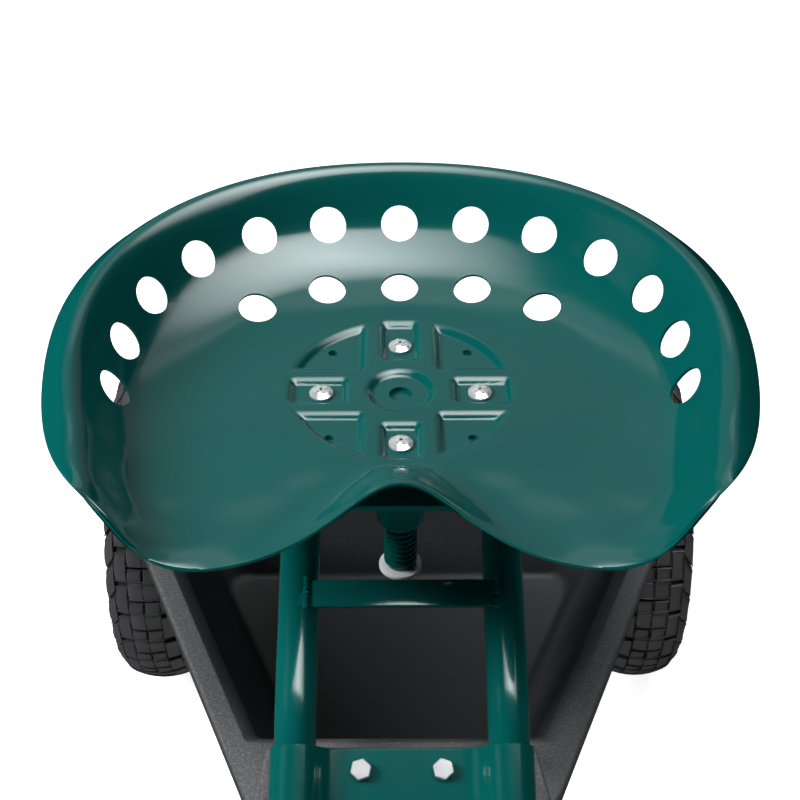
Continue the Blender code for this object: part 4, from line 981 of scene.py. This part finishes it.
def frame_tubes():
    rear = middle("rear_axle").y
    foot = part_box("rear_axle_beam")[1].z
    line = [
        (TUBE_FRONT, TUBE_FRONT_LEVEL),
        (POST_Y - LEVEL_AHEAD - SLOPE_RUN, TUBE_FRONT_LEVEL),
        on_slope(KNEE_FOOT_AHEAD).yz,
        knee().yz,
        (POST_Y - PLATE_BEND_AHEAD, TUBE_TOP),
        (POST_Y + LEVEL_BEHIND, TUBE_TOP),
        (rear, TUBE_TOP - SHOULDER_DROP),
        (rear, foot),
    ]
    bends = [BEND_RADIUS, BEND_RADIUS, KNEE_RADIUS, BEND_RADIUS, BEND_RADIUS, BEND_RADIUS]
    for side, sign in SIDES:
        x = sign * TUBE_X
        corners = [Vector((x, *point)) for point in line]
        bm = soften(bent_tube(corners, TUBE_RADIUS, bends), TUBE_END_EDGE)
        piece("bent_tube_" + side, bm, "frame", "green_paint", ["frame_tube_" + side])
        weld("rear_leg_weld_" + side, round_path((x, rear, foot), TUBE_RADIUS + WELD_OUT, 26))
        ends = [(x, TUBE_FRONT + run, HEAD_PLATE_TOP + WELD_OUT) for run in HEAD_WELD]
        weld("head_weld_" + side, along(*ends, 24), HEAD_WELD_RADIUS)


def on_slope(ahead):
    """The point of the sloping tubes' centre lines this far ahead of the post."""
    return Vector((0, POST_Y - ahead, TUBE_TOP - (ahead - LEVEL_AHEAD) * tan(SLOPE)))


def knee():
    return on_slope(KNEE_AHEAD) + Vector((0, 0, KNEE_RISE))


def strap_place():
    down = Vector((0, cos(SLOPE), sin(SLOPE))) * (STRAP_WIDTH / 2)
    return shift(on_slope(STRAP_AHEAD) - down) @ TO_SLOPE


def strap_line():
    """Middle line of the strap's section on the right: over the tube, then down to the flat."""
    radius = TUBE_RADIUS + GAP + STRAP_THICKNESS / 2
    flat = STRAP_FLAT + STRAP_THICKNESS / 2
    turns = np.linspace(-STRAP_SKIRT, pi - STRAP_LEAVE, 25)
    points = [(TUBE_X + radius * cos(a), radius * sin(a)) for a in turns]
    leave_x, leave_z = points[-1]
    bend = (leave_z - flat) / (1 - sin(STRAP_LEAVE))
    for a in np.linspace(STRAP_LEAVE, pi / 2, 9)[1:]:
        x = leave_x - bend * cos(STRAP_LEAVE) + bend * cos(a)
        points.append((x, flat + bend * (1 - sin(a))))
    return points


def tube_strap():
    right = strap_line()
    line = right + [(-x, z) for x, z in reversed(right)]
    bm = bmesh.new()
    lines = open_line(bm, [(x, -STRAP_WIDTH / 2, z) for x, z in line])[1]
    draw(bm, lines, (0, STRAP_WIDTH, 0))
    face_outward(bm)
    moved(bm, strap_place())
    strap = piece("pressed_strap", bm, "frame", "green_paint", ["tube_strap"])
    wall(strap, STRAP_THICKNESS, 0.0)
    eased_edges(strap, STRAP_EDGE, 3, 60)


def hex_head(flats, height, soft=FINE_EDGE):
    """A hex head on Z 0 with a flat face and broken edges."""
    bm = bmesh.new()
    corner = flats / 2 / cos(pi / 6)
    bmesh.ops.create_cone(bm, cap_ends=True, segments=6, radius1=corner, radius2=corner, depth=height)
    bmesh.ops.translate(bm, vec=(0, 0, height / 2), verts=bm.verts)
    return soften(bm, soft, 1)


def strap_bolts():
    head = STRAP_FLAT + STRAP_THICKNESS
    for side, sign in SIDES:
        at = Vector((sign * STRAP_BOLT_SPACING / 2, STRAP_WIDTH / 2 - STRAP_BOLT_DOWN, head))
        bm = hex_head(BOLT_FLATS, BOLT_HEAD)
        moved(bm, Matrix.Rotation(sign * BOLT_TURN, 4, "Z"))
        add(bm, bar(BOLT_RADIUS, -BOLT_LENGTH, BOLT_LAP, 24))
        moved(bm, strap_place() @ shift(at))
        piece("strap_hex_" + side, bm, "frame", "zinc", ["strap_bolt_" + side], sharp=20)
        dressed("strap_nut_" + side, "frame", "zinc", FINE_EDGE)


def seat_plate():
    low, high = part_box("seat_plate")
    size = high - low
    bm = block(size)
    corners = [e for e in bm.edges if abs(e.verts[0].co.z - e.verts[1].co.z) > size.z / 2]
    bevelled(bm, corners, PLATE_CORNER, 6)
    soften(bm, EDGE)
    moved(bm, shift(middle("seat_plate")))
    piece("welded_plate", bm, "frame", "green_paint", ["seat_plate"])
    level = low.z - PLATE_WELD_DROP
    for side, sign in SIDES:
        for edge, way in (("inner", -1), ("outer", 1)):
            x = sign * (TUBE_X + way * TUBE_RADIUS * PLATE_WELD_SPREAD)
            path = along((x, POST_Y - PLATE_BEND_AHEAD, level), (x, high.y - PLATE_WELD_INSET, level), 24)
            weld(f"plate_weld_{edge}_{side}", path)


def screw_collar():
    low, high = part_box("screw_collar")
    plate_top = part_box("seat_plate")[1].z
    profile = [
        (COLLAR_BORE, high.z),
        (COLLAR_HEAD, high.z),
        (COLLAR_HEAD, plate_top),
        (COLLAR_RADIUS, plate_top - COLLAR_STEP),
        (COLLAR_RADIUS, low.z + COLLAR_CHAMFER),
        (COLLAR_BORE + COLLAR_LIP, low.z),
        (COLLAR_BORE, low.z),
    ]
    bm = turned(profile, 64, closed=True, soft=LIGHT_EDGE)
    piece("threaded_collar", at_post(bm), "frame", "green_paint", ["screw_collar"])
    weld("collar_weld_top", round_path((0, POST_Y, plate_top), COLLAR_HEAD + ROUND_WELD_OUT, 40))


def crossbar():
    bm = block((2 * TUBE_X, CROSSBAR_WIDTH, CROSSBAR_THICKNESS), EDGE)
    lean = atan2(TUBE_TOP - knee().z, KNEE_AHEAD - PLATE_BEND_AHEAD) - CROSSBAR_TIP
    at = shift(on_slope(CROSSBAR_AHEAD)) @ Matrix.Rotation(lean, 4, "X")
    at = at @ shift((0, -CROSSBAR_SHIFT, CROSSBAR_LEVEL))
    moved(bm, at)
    piece("flat_crossbar", bm, "frame", "green_paint", ["front_crossbar"])
    top = CROSSBAR_THICKNESS / 2
    meet = TUBE_X - sqrt(TUBE_RADIUS**2 - (CROSSBAR_LEVEL + top) ** 2)
    for side, sign in SIDES:
        path = along((sign * meet, -CROSSBAR_WIDTH / 2, top), (sign * meet, CROSSBAR_WIDTH / 2, top), 7)
        weld("crossbar_weld_" + side, path, CROSSBAR_WELD_RADIUS, at=at)


def lift_screw():
    """The seat post: one turn of thread spun up the screw, with plain ends."""
    low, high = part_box("lift_screw")
    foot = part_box("stop_washer")[1].z
    top = high.z - SCREW_HEAD
    turns = int((top - foot) / THREAD_PITCH) - 1
    bm = bmesh.new()
    points, lines = open_line(bm, [(radius, 0, share * THREAD_PITCH) for share, radius in THREAD])
    rise = (0, 0, THREAD_PITCH / THREAD_STEPS)
    spun(bm, points + lines, THREAD_STEPS * turns, 2 * pi * turns, dvec=rise)
    tidy(bm, NEAR)
    moved(bm, shift((0, 0, foot)))
    add(bm, bar(CORE_RADIUS, foot, top + POST_LAP, 36))
    add(bm, bar(POST_HEAD_RADIUS, top - THREAD_PITCH, high.z, 40))
    add(bm, bar(SPIGOT_RADIUS, low.z, foot + POST_LAP, 32))
    piece("threaded_post", at_post(bm), "seat", "green_paint", ["lift_screw"])


def end_washer():
    low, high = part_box("stop_washer")
    bm = sleeve(SPIGOT_RADIUS + GAP, (high.x - low.x) / 2, low.z, high.z)
    # The washer takes the lit copy of the zinc, a painted brightness.
    piece("end_washer", at_post(bm), "lift", "zinc", ["stop_washer"], finish=LIT_ZINC_COPY)


def post_flange():
    low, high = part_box("seat_flange")
    bm = bar((high.x - low.x) / 2, low.z, high.z, 72, FULL_EDGE)
    piece("post_flange", at_post(bm), "seat", "green_paint", ["seat_flange"])
    weld("post_weld", round_path((0, POST_Y, low.z), POST_RADIUS + POST_WELD_OUT, 30), body="seat")


def split_pin():
    """A folded wire pin with an eye and two spread legs."""
    low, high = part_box("split_pin")
    half = min((high.x - low.x) / 2, PIN_HALF)
    thick = (high.z - low.z) / 2
    wire = thick * PIN_WIRE
    bm = bmesh.new()
    for sign in (-1, 1):
        leg = [
            Vector((-half + PIN_EYE_LENGTH, sign * thick * PIN_LEG, 0)),
            Vector((half * PIN_BEND, sign * thick * PIN_LEG, 0)),
            Vector((half * PIN_END, sign * thick * PIN_SPREAD, 0)),
        ]
        add(bm, bent_tube(leg, wire, [thick * PIN_BEND_RADIUS], 14, 5))
    eye = bmesh.new()
    bmesh.ops.create_circle(eye, radius=wire, segments=14, matrix=shift((thick * PIN_EYE, 0, 0)))
    spun(eye, list(eye.edges), 24, axis=(0, 1, 0), use_merge=True)
    tidy(eye)
    turn = Matrix.Rotation(pi / 2, 4, "X")
    add(bm, eye, shift((-half + thick * PIN_EYE_INSET, 0, 0)) @ turn)
    moved(bm, shift(middle("split_pin")))
    piece("bent_split_pin", bm, "seat", "zinc", ["split_pin"])


def tray_corners(front, back, side):
    """Corners of one level of the tray, let out from its mouth by front, back and side."""
    front_y = POST_Y - TRAY_FRONT_AHEAD - front
    back_y = POST_Y + TRAY_BACK_BEHIND + back
    across = side * hypot(1, TRAY_FLARE)
    front_half = TRAY_FRONT_HALF - front * TRAY_FLARE + across
    back_half = TRAY_BACK_HALF + back * TRAY_FLARE + across
    return [(-front_half, front_y), (front_half, front_y), (back_half, back_y), (-back_half, back_y)]


def rounded_corner(before, corner, after, radius, steps):
    """Points of the arc that rounds one corner of a flat outline."""
    corner = Vector(corner)
    to_before = (Vector(before) - corner).normalized()
    to_after = (Vector(after) - corner).normalized()
    half = to_before.angle(to_after) / 2
    centre = corner + (to_before + to_after).normalized() * (radius / sin(half))
    start = corner + to_before * (radius / tan(half)) - centre
    end = corner + to_after * (radius / tan(half)) - centre
    span = start.angle(end)
    shares = [i / steps for i in range(steps + 1)]
    arcs = [(start * sin((1 - s) * span) + end * sin(s * span)) / sin(span) for s in shares]
    return [centre + spoke for spoke in arcs]


def tray_level(front, back, side, radius):
    corners = tray_corners(front, back, side)
    points = []
    for i, corner in enumerate(corners):
        points += rounded_corner(corners[i - 1], corner, corners[(i + 1) % 4], radius, TRAY_CORNER_STEPS)
    return points


def tray_section():
    """Inset and height of the tray's inner face, from the rim over the chamfer and down to the floor."""
    line = [
        (TRAY_SIDE_RIM / 2, TRAY_RIM),
        (0, TRAY_RIM),
        (-MOUTH_CHAMFER, TRAY_RIM - MOUTH_DROP),
        (-TRAY_LEAN, TRAY_FLOOR),
        (-TRAY_LEAN - MOUTH_CHAMFER, TRAY_FLOOR),
    ]
    points = []
    for before, corner, after, rounding in zip(line, line[1:], line[2:], TRAY_ROUNDINGS):
        points += rounded_corner(before, corner, after, rounding, 5)
    return points


def tray_levels():
    """Outline and height of each level, from the foot of the skirt over the rim and down to the floor."""
    rim = (TRAY_LEDGE, TRAY_BACK_RIM, TRAY_SIDE_RIM)
    levels = [(tray_level(*rim, TRAY_CORNER), TRAY_RIM - TRAY_SKIRT)]
    for turn in np.linspace(0, pi / 2, 4):
        inset = TRAY_EDGE * (1 - cos(turn))
        reach = [value - inset for value in rim]
        height = TRAY_RIM - TRAY_EDGE + TRAY_EDGE * sin(turn)
        levels.append((tray_level(*reach, TRAY_CORNER - inset), height))
    for inset, height in tray_section():
        depth = (TRAY_RIM - height) / (TRAY_RIM - TRAY_FLOOR)
        radius = MOUTH_CORNER + (TRAY_CORNER / 2 - MOUTH_CORNER) * depth
        levels.append((tray_level(inset, inset, inset, radius), height))
    return levels


def tool_tray():
    bm = bmesh.new()
    ring = None
    for outline, height in tray_levels():
        if ring is None:
            order = [bm.verts.new((p.x, p.y, height)) for p in outline]
            ring = [bm.edges.new(pair) for pair in zip(order, order[1:] + order[:1])]
            continue
        made = bmesh.ops.extrude_edge_only(bm, edges=ring)["geom"]
        ring = edges_of(made)
        fresh = set(verts_of(made))
        order = [next(e.other_vert(v) for e in v.link_edges if e.other_vert(v) in fresh) for v in order]
        for vertex, point in zip(order, outline):
            vertex.co = (point.x, point.y, height)
    bmesh.ops.contextual_create(bm, geom=ring)
    face_outward(bm)
    floor = max(bm.faces, key=lambda f: len(f.verts))
    if floor.normal.z < 0:
        bmesh.ops.reverse_faces(bm, faces=bm.faces)
    tray = piece("moulded_tray", bm, "frame", "tray_plastic", ["tool_tray"])
    wall(tray, TRAY_WALL)
    piece("tray_saddle", tray_saddle(), "frame", "tray_plastic")


def tray_saddle():
    """The moulded saddle on the tray's front ledge, a little wider at its front."""
    top = STRAP_FLAT - GAP
    bm = block((2 * SADDLE_HALF, SADDLE_LENGTH, SADDLE_DEPTH + top))
    front = [v for v in bm.verts if v.co.y < 0]
    bmesh.ops.scale(bm, vec=(SADDLE_FLARE, 1, 1), verts=front)
    soften(bm, SADDLE_EDGE, 3)
    moved(bm, shift((0, 0, (top - SADDLE_DEPTH) / 2)))
    return moved(bm, strap_place())


def crown(across):
    """Radius of the tread's face at a distance from the tyre's middle plane."""
    share = abs(across) / CROWN_HALF
    if share <= 1:
        return TYRE_RADIUS - CROWN_DROP * share * share
    past = abs(across) - CROWN_HALF
    return TYRE_RADIUS - CROWN_DROP - past * SHOULDER_SLOPE - past * past * SHOULDER_CURVE


def tread_block(bm, low, high, turn, length, slant):
    """A tread block between two distances across, centred on a turn, standing on the carcass."""
    grid = bmesh.new()
    bmesh.ops.create_grid(grid, x_segments=2, y_segments=3, size=0.5)
    raised = bmesh.ops.extrude_face_region(grid, geom=list(grid.faces))["geom"]
    bmesh.ops.translate(grid, vec=(0, 0, 1), verts=verts_of(raised))
    for vertex in grid.verts:
        top = vertex.co.z > 0.5
        flare = 1.0 if top else BLOCK_FLARE
        across = (low + high) / 2 + vertex.co.x * flare * (high - low)
        angle = turn + vertex.co.y * flare * length + slant * vertex.co.x
        radius = crown(across) - (0 if top else GROOVE + BLOCK_SINK)
        vertex.co = (radius * cos(angle), radius * sin(angle), across)
    edges = [e for e in grid.edges if e.is_manifold and e.calc_face_angle() > radians(45)]
    bevelled(grid, edges, BLOCK_EDGE, 1)
    face_outward(grid)
    add(bm, grid)


def tyre():
    """A tyre about Z: a turned carcass, and one pitch of tread spun round it."""
    bulge = RIM_RADIUS + (TYRE_RADIUS - RIM_RADIUS) * BULGE_SHARE
    foot = RIM_RADIUS + RIM_FLANGE + TYRE_FOOT_GAP
    face = [0.0, *np.linspace(FACE_START, CROWN_HALF + FACE_OVER, 6)]
    line = [SHOULDER, (bulge + BULGE_HALF, BULGE_INSET), (bulge - BULGE_HALF, BULGE_INSET), *SIDEWALL_FOOT]
    side = [(crown(a) - GROOVE, a) for a in face]
    side += [(radius, TYRE_HALF - inset) for radius, inset in line]
    side += [(foot, RIM_HALF + TYRE_FOOT_OUT), (foot, RIM_HALF - RIM_WALL)]
    profile = [(r, -z) for r, z in reversed(side[1:])] + side
    carcass = turned(profile, 120)
    tread = bmesh.new()
    pitch = 2 * pi / PITCHES
    for sign in (-1, 1):
        for inner, outer, place, length, slant in TREAD:
            low, high = sorted((sign * inner, sign * outer))
            tread_block(tread, low, high, place * pitch, length * pitch, sign * slant * pitch)
    whole = list(tread.verts) + list(tread.edges) + list(tread.faces)
    spun(tread, whole, PITCHES, use_duplicate=True)
    bmesh.ops.remove_doubles(tread, verts=tread.verts, dist=NEAR)
    return add(carcass, tread)


def rim():
    """Hub, pressed web and rim, about Z."""
    well = RIM_RADIUS - RIM_WALL
    flange = RIM_RADIUS + RIM_FLANGE
    outer = RIM_HALF - RIM_WALL
    half = [
        (BUSH_RADIUS, HUB_HALF),
        (HUB_RADIUS, HUB_HALF),
        *[(HUB_RADIUS + out, thick) for out, thick in RIM_WEB],
        (well, RIM_WEB_FOOT),
        (well, outer),
        (well + RIM_BEAD, RIM_HALF),
        (flange, RIM_HALF),
        (flange, outer),
        (RIM_RADIUS, outer),
    ]
    profile = half + [(r, -z) for r, z in reversed(half)]
    return turned(profile, 96, closed=True, soft=FULL_EDGE)


def wheel(name):
    body = name + "_wheel"
    at = shift(middle(name + "_tyre")) @ TO_SIDE
    piece(name + "_treaded_tyre", moved(tyre(), at), body, "tyre_rubber", [name + "_tyre"])
    piece(name + "_pressed_rim", moved(rim(), at), body, "black_paint", [name + "_rim"])
    bush = sleeve(AXLE_BORE, BUSH_RADIUS, -HUB_HALF, HUB_HALF, 40)
    piece(name + "_nylon_bush", moved(bush, at), body, "nylon", [name + "_bush"])


def axle_end(name, body):
    low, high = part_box(name)
    centre = middle(name)
    side = copysign(1, centre.x)
    radius, length = (high.y - low.y) / 2, high.x - low.x
    turns = np.linspace(0, pi / 2, 8)
    dome = [(radius * cos(a), length - CAP_DOME + CAP_DOME * sin(a)) for a in turns]
    bm = turned([(0, 0), (radius, 0), (radius, CAP_SKIRT), (radius - CAP_INSET, CAP_GROOVE)] + dome, 40)
    foot = low.x if side > 0 else high.x
    at = shift((foot, centre.y, centre.z)) @ Matrix.Rotation(side * pi / 2, 4, "Y")
    piece(name + "_domed", moved(bm, at), body, "zinc", [name])


def axle(name, body):
    low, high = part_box(name)
    bm = bar((high.z - low.z) / 2, low.x, high.x, 36)
    at = shift((0, middle(name).y, middle(name).z)) @ TO_SIDE
    piece(name + "_rod", moved(bm, at), body, "dark_steel", [name])


def running_gear():
    for end, body in (("rear", "frame"), ("front", "steering")):
        axle(end + "_axle", body)
        dressed(end + "_axle_beam", body, "green_paint", SOFT_EDGE)
        for side in ("left", "right"):
            wheel(f"{end}_{side}")
            axle_end(f"{end}_axle_cap_{side}", body)


def steering_head():
    dressed("head_plate", "frame", "green_paint", EDGE)
    low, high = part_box("head_sleeve")
    radius = (high.x - low.x) / 2
    at = middle("head_sleeve")
    bm = sleeve(HEAD_BORE, radius, low.z, high.z, 56, FULL_EDGE)
    moved(bm, shift((at.x, at.y, 0)))
    piece("head_bearing_sleeve", bm, "frame", "green_paint", ["head_sleeve"])
    for name, level in (("top", HEAD_PLATE_TOP), ("foot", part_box("head_plate")[0].z)):
        path = round_path((at.x, at.y, level), radius + ROUND_WELD_OUT, 36)
        weld("sleeve_weld_" + name, path, SLEEVE_WELD_RADIUS)
    for node, slot in (("kingpin", "dark_steel"), ("thrust_washer", "zinc"), ("kingpin_nut", "zinc")):
        dressed(node, "steering", slot)
    dressed("handle_bracket", "steering", "green_paint", FULL_EDGE)
    for node in ("pivot_bolt", "pivot_nut"):
        dressed(node, "steering", "zinc")


def hanger():
    for side in ("left", "right"):
        dressed("hanger_bolt_" + side, "frame", "zinc", FINE_EDGE)
        dressed("hanger_nut_" + side, "frame", "zinc", FINE_EDGE)
    dressed("tray_hanger", "frame", "green_paint", EDGE)


def handle_place():
    return shift((0, PIVOT.y, PIVOT.z)) @ Matrix.Rotation(HANDLE_LEAN, 4, "X")


def steering_handle():
    at = handle_place()
    bm = sleeve(HANDLE_RADIUS - HANDLE_WALL, HANDLE_RADIUS, -HANDLE_FOOT, HANDLE_LENGTH, 48, FINE_EDGE)
    piece("lower_handle_tube", moved(bm, at), "handle", "green_paint", ["handle_tube"])
    profile = [
        (HANDLE_RADIUS, CLAMP_FOOT),
        (CLAMP_RADIUS - CLAMP_CHAMFER, CLAMP_FOOT),
        (CLAMP_RADIUS, CLAMP_FOOT + CLAMP_CHAMFER_RUN),
        (CLAMP_RADIUS, CLAMP_TOP - CLAMP_CHAMFER_RUN),
        (CLAMP_RADIUS - CLAMP_CHAMFER, CLAMP_TOP),
        (HANDLE_RADIUS, CLAMP_TOP),
    ]
    clamp = turned(profile, 56, closed=True, soft=FULL_EDGE)
    piece("clamp_collar", moved(clamp, at), "handle", "black_paint", ["handle_clamp"])
    bm = bar(SLIDER_RADIUS, SLIDER_START, SLIDER_END, 44, FULL_EDGE)
    piece("upper_handle_tube", moved(bm, at), "handle_slide", "zinc", ["handle_slider"])


def hand_grip():
    """A T grip with moulded ribs, on a socket over the sliding tube."""
    ribbed = GRIP_HALF * GRIP_RIBBED
    rib = 2 * ribbed / GRIP_RIBS
    root = GRIP_RADIUS - GRIP_RIB_DEPTH
    end = [(GRIP_RADIUS * out, -GRIP_HALF * share) for out, share in GRIP_END]
    profile = list(end)
    for i in range(GRIP_RIBS):
        start = -ribbed + i * rib
        profile += [(root, start)] + [(GRIP_RADIUS, start + rib * share) for share in GRIP_RIB_CREST]
    profile.append((root, ribbed))
    profile += [(r, -z) for r, z in reversed(end)]
    bm = moved(turned(profile, 48), shift((0, 0, GRIP_CENTRE)) @ TO_SIDE)
    add(bm, bar(GRIP_SOCKET, GRIP_SOCKET_FOOT, GRIP_CENTRE, 44, SOFT_EDGE))
    piece("ribbed_grip", moved(bm, handle_place()), "handle_slide", "grip_rubber", ["handle_grip"])


def lock_knob():
    """A lobed knob with a plain face, on a short stem."""
    start = CLAMP_RADIUS + KNOB_NECK
    bm = bmesh.new()
    bmesh.ops.create_circle(bm, cap_ends=True, radius=KNOB_RADIUS, segments=12 * KNOB_LOBES)
    for vertex in bm.verts:
        turn = atan2(vertex.co.y, vertex.co.x)
        vertex.co.xy *= 1 - KNOB_LOBE_DEPTH + KNOB_LOBE_DEPTH * cos(KNOB_LOBES * turn)
    raised = bmesh.ops.extrude_face_region(bm, geom=list(bm.faces))["geom"]
    bmesh.ops.translate(bm, vec=(0, 0, KNOB_LENGTH), verts=verts_of(raised))
    face_outward(bm)
    soften(bm, KNOB_EDGE, 3, 50)
    add(bm, bar(KNOB_BUTTON, KNOB_LENGTH - KNOB_BUTTON_LAP, KNOB_LENGTH, 32))
    moved(bm, shift((0, 0, start)))
    add(bm, bar(KNOB_STEM, SLIDER_RADIUS + GAP, start + KNOB_STEM_LAP, 24, KNOB_STEM_EDGE))
    foot = start - KNOB_SKIRT_LENGTH
    narrow, wide = KNOB_SKIRT
    skirt = [(KNOB_STEM, foot), (narrow, foot), (wide, start), (KNOB_STEM, start)]
    add(bm, turned(skirt, 32, closed=True))
    place = (CLAMP_FOOT + CLAMP_TOP) / 2
    at = handle_place() @ shift((0, 0, place)) @ TO_SIDE
    piece("lobed_knob", moved(bm, at), "knob", "knob_plastic", ["lock_knob"])


def pale_floor():
    finish = Finish("pale_floor")
    cloud = finish.noise(3.0)
    finish.shade(
        base_color=finish.mix(cloud, (0.90, 0.90, 0.90), (0.92, 0.92, 0.92)),
        roughness=0.9,
        emission_color=(1, 1, 1, 1),
        emission_strength=PALE,
    )
    bm = bmesh.new()
    bmesh.ops.create_grid(bm, x_segments=4, y_segments=4, size=FLOOR_HALF)
    mesh = bpy.data.meshes.new("floor")
    bm.to_mesh(mesh)
    bm.free()
    mesh.materials.append(finish.material)
    ground = in_scene("floor", mesh)
    ground.location.z = -FLOOR_DROP
    ground.visible_glossy = False


def surroundings():
    """A pale world that is seen, but neither lights the pieces nor is mirrored in them."""
    world = bpy.data.worlds.new("studio")
    world.use_nodes = True
    background = world.node_tree.nodes["Background"]
    background.inputs["Color"].default_value = (1, 1, 1, 1)
    background.inputs["Strength"].default_value = PALE
    world.cycles_visibility.diffuse = False
    world.cycles_visibility.glossy = False
    bpy.context.scene.world = world


def softbox(name, offset, size, power, aim=None, spread=180, shine=True, fill=True):
    """A soft panel that faces the seat, or along an aim.

    One without shine isn't mirrored, and one without fill is only mirrored."""
    seat = Vector((0, POST_Y, SEAT_HEIGHT))
    place = seat + Vector(offset)
    target = place + Vector(aim) if aim else seat
    light = bpy.data.lights.new(name, "AREA")
    light.shape = "RECTANGLE"
    light.size, light.size_y = size
    light.energy = power
    light.spread = radians(spread)
    lamp = in_scene(name, light)
    lamp.location = place
    back = (place - target).normalized()
    across = Vector((0, 1, 0)).cross(back).normalized()
    lamp.rotation_euler = Matrix((across, back.cross(across), back)).transposed().to_euler()
    lamp.visible_glossy = shine
    lamp.visible_diffuse = fill


def lights():
    softbox("left_fill", *LEFT_FILL, shine=False)
    softbox("overhead_fill", *OVERHEAD_FILL, shine=False)
    softbox("overhead", *OVERHEAD, aim=OVERHEAD_AIM, spread=70, fill=False)
    softbox("upper_back", *UPPER_BACK, spread=110, fill=False)
    softbox("backdrop", *BACKDROP, spread=120, fill=False)


def camera():
    optics = bpy.data.cameras.new("camera")
    optics.lens = CAMERA_LENS
    optics.sensor_width = CAMERA_SENSOR
    view = in_scene("camera", optics)
    view.location = CAMERA_PLACE
    view.rotation_euler = CAMERA_TURN
    bpy.context.scene.camera = view
    bpy.context.scene.view_settings.view_transform = "Standard"


seat_pan()
seat_screws()
lift_screw()
end_washer()
post_flange()
split_pin()
frame_tubes()
seat_plate()
screw_collar()
crossbar()
tube_strap()
strap_bolts()
tool_tray()
running_gear()
steering_head()
hanger()
steering_handle()
hand_grip()
lock_knob()
pale_floor()
surroundings()
lights()
camera()
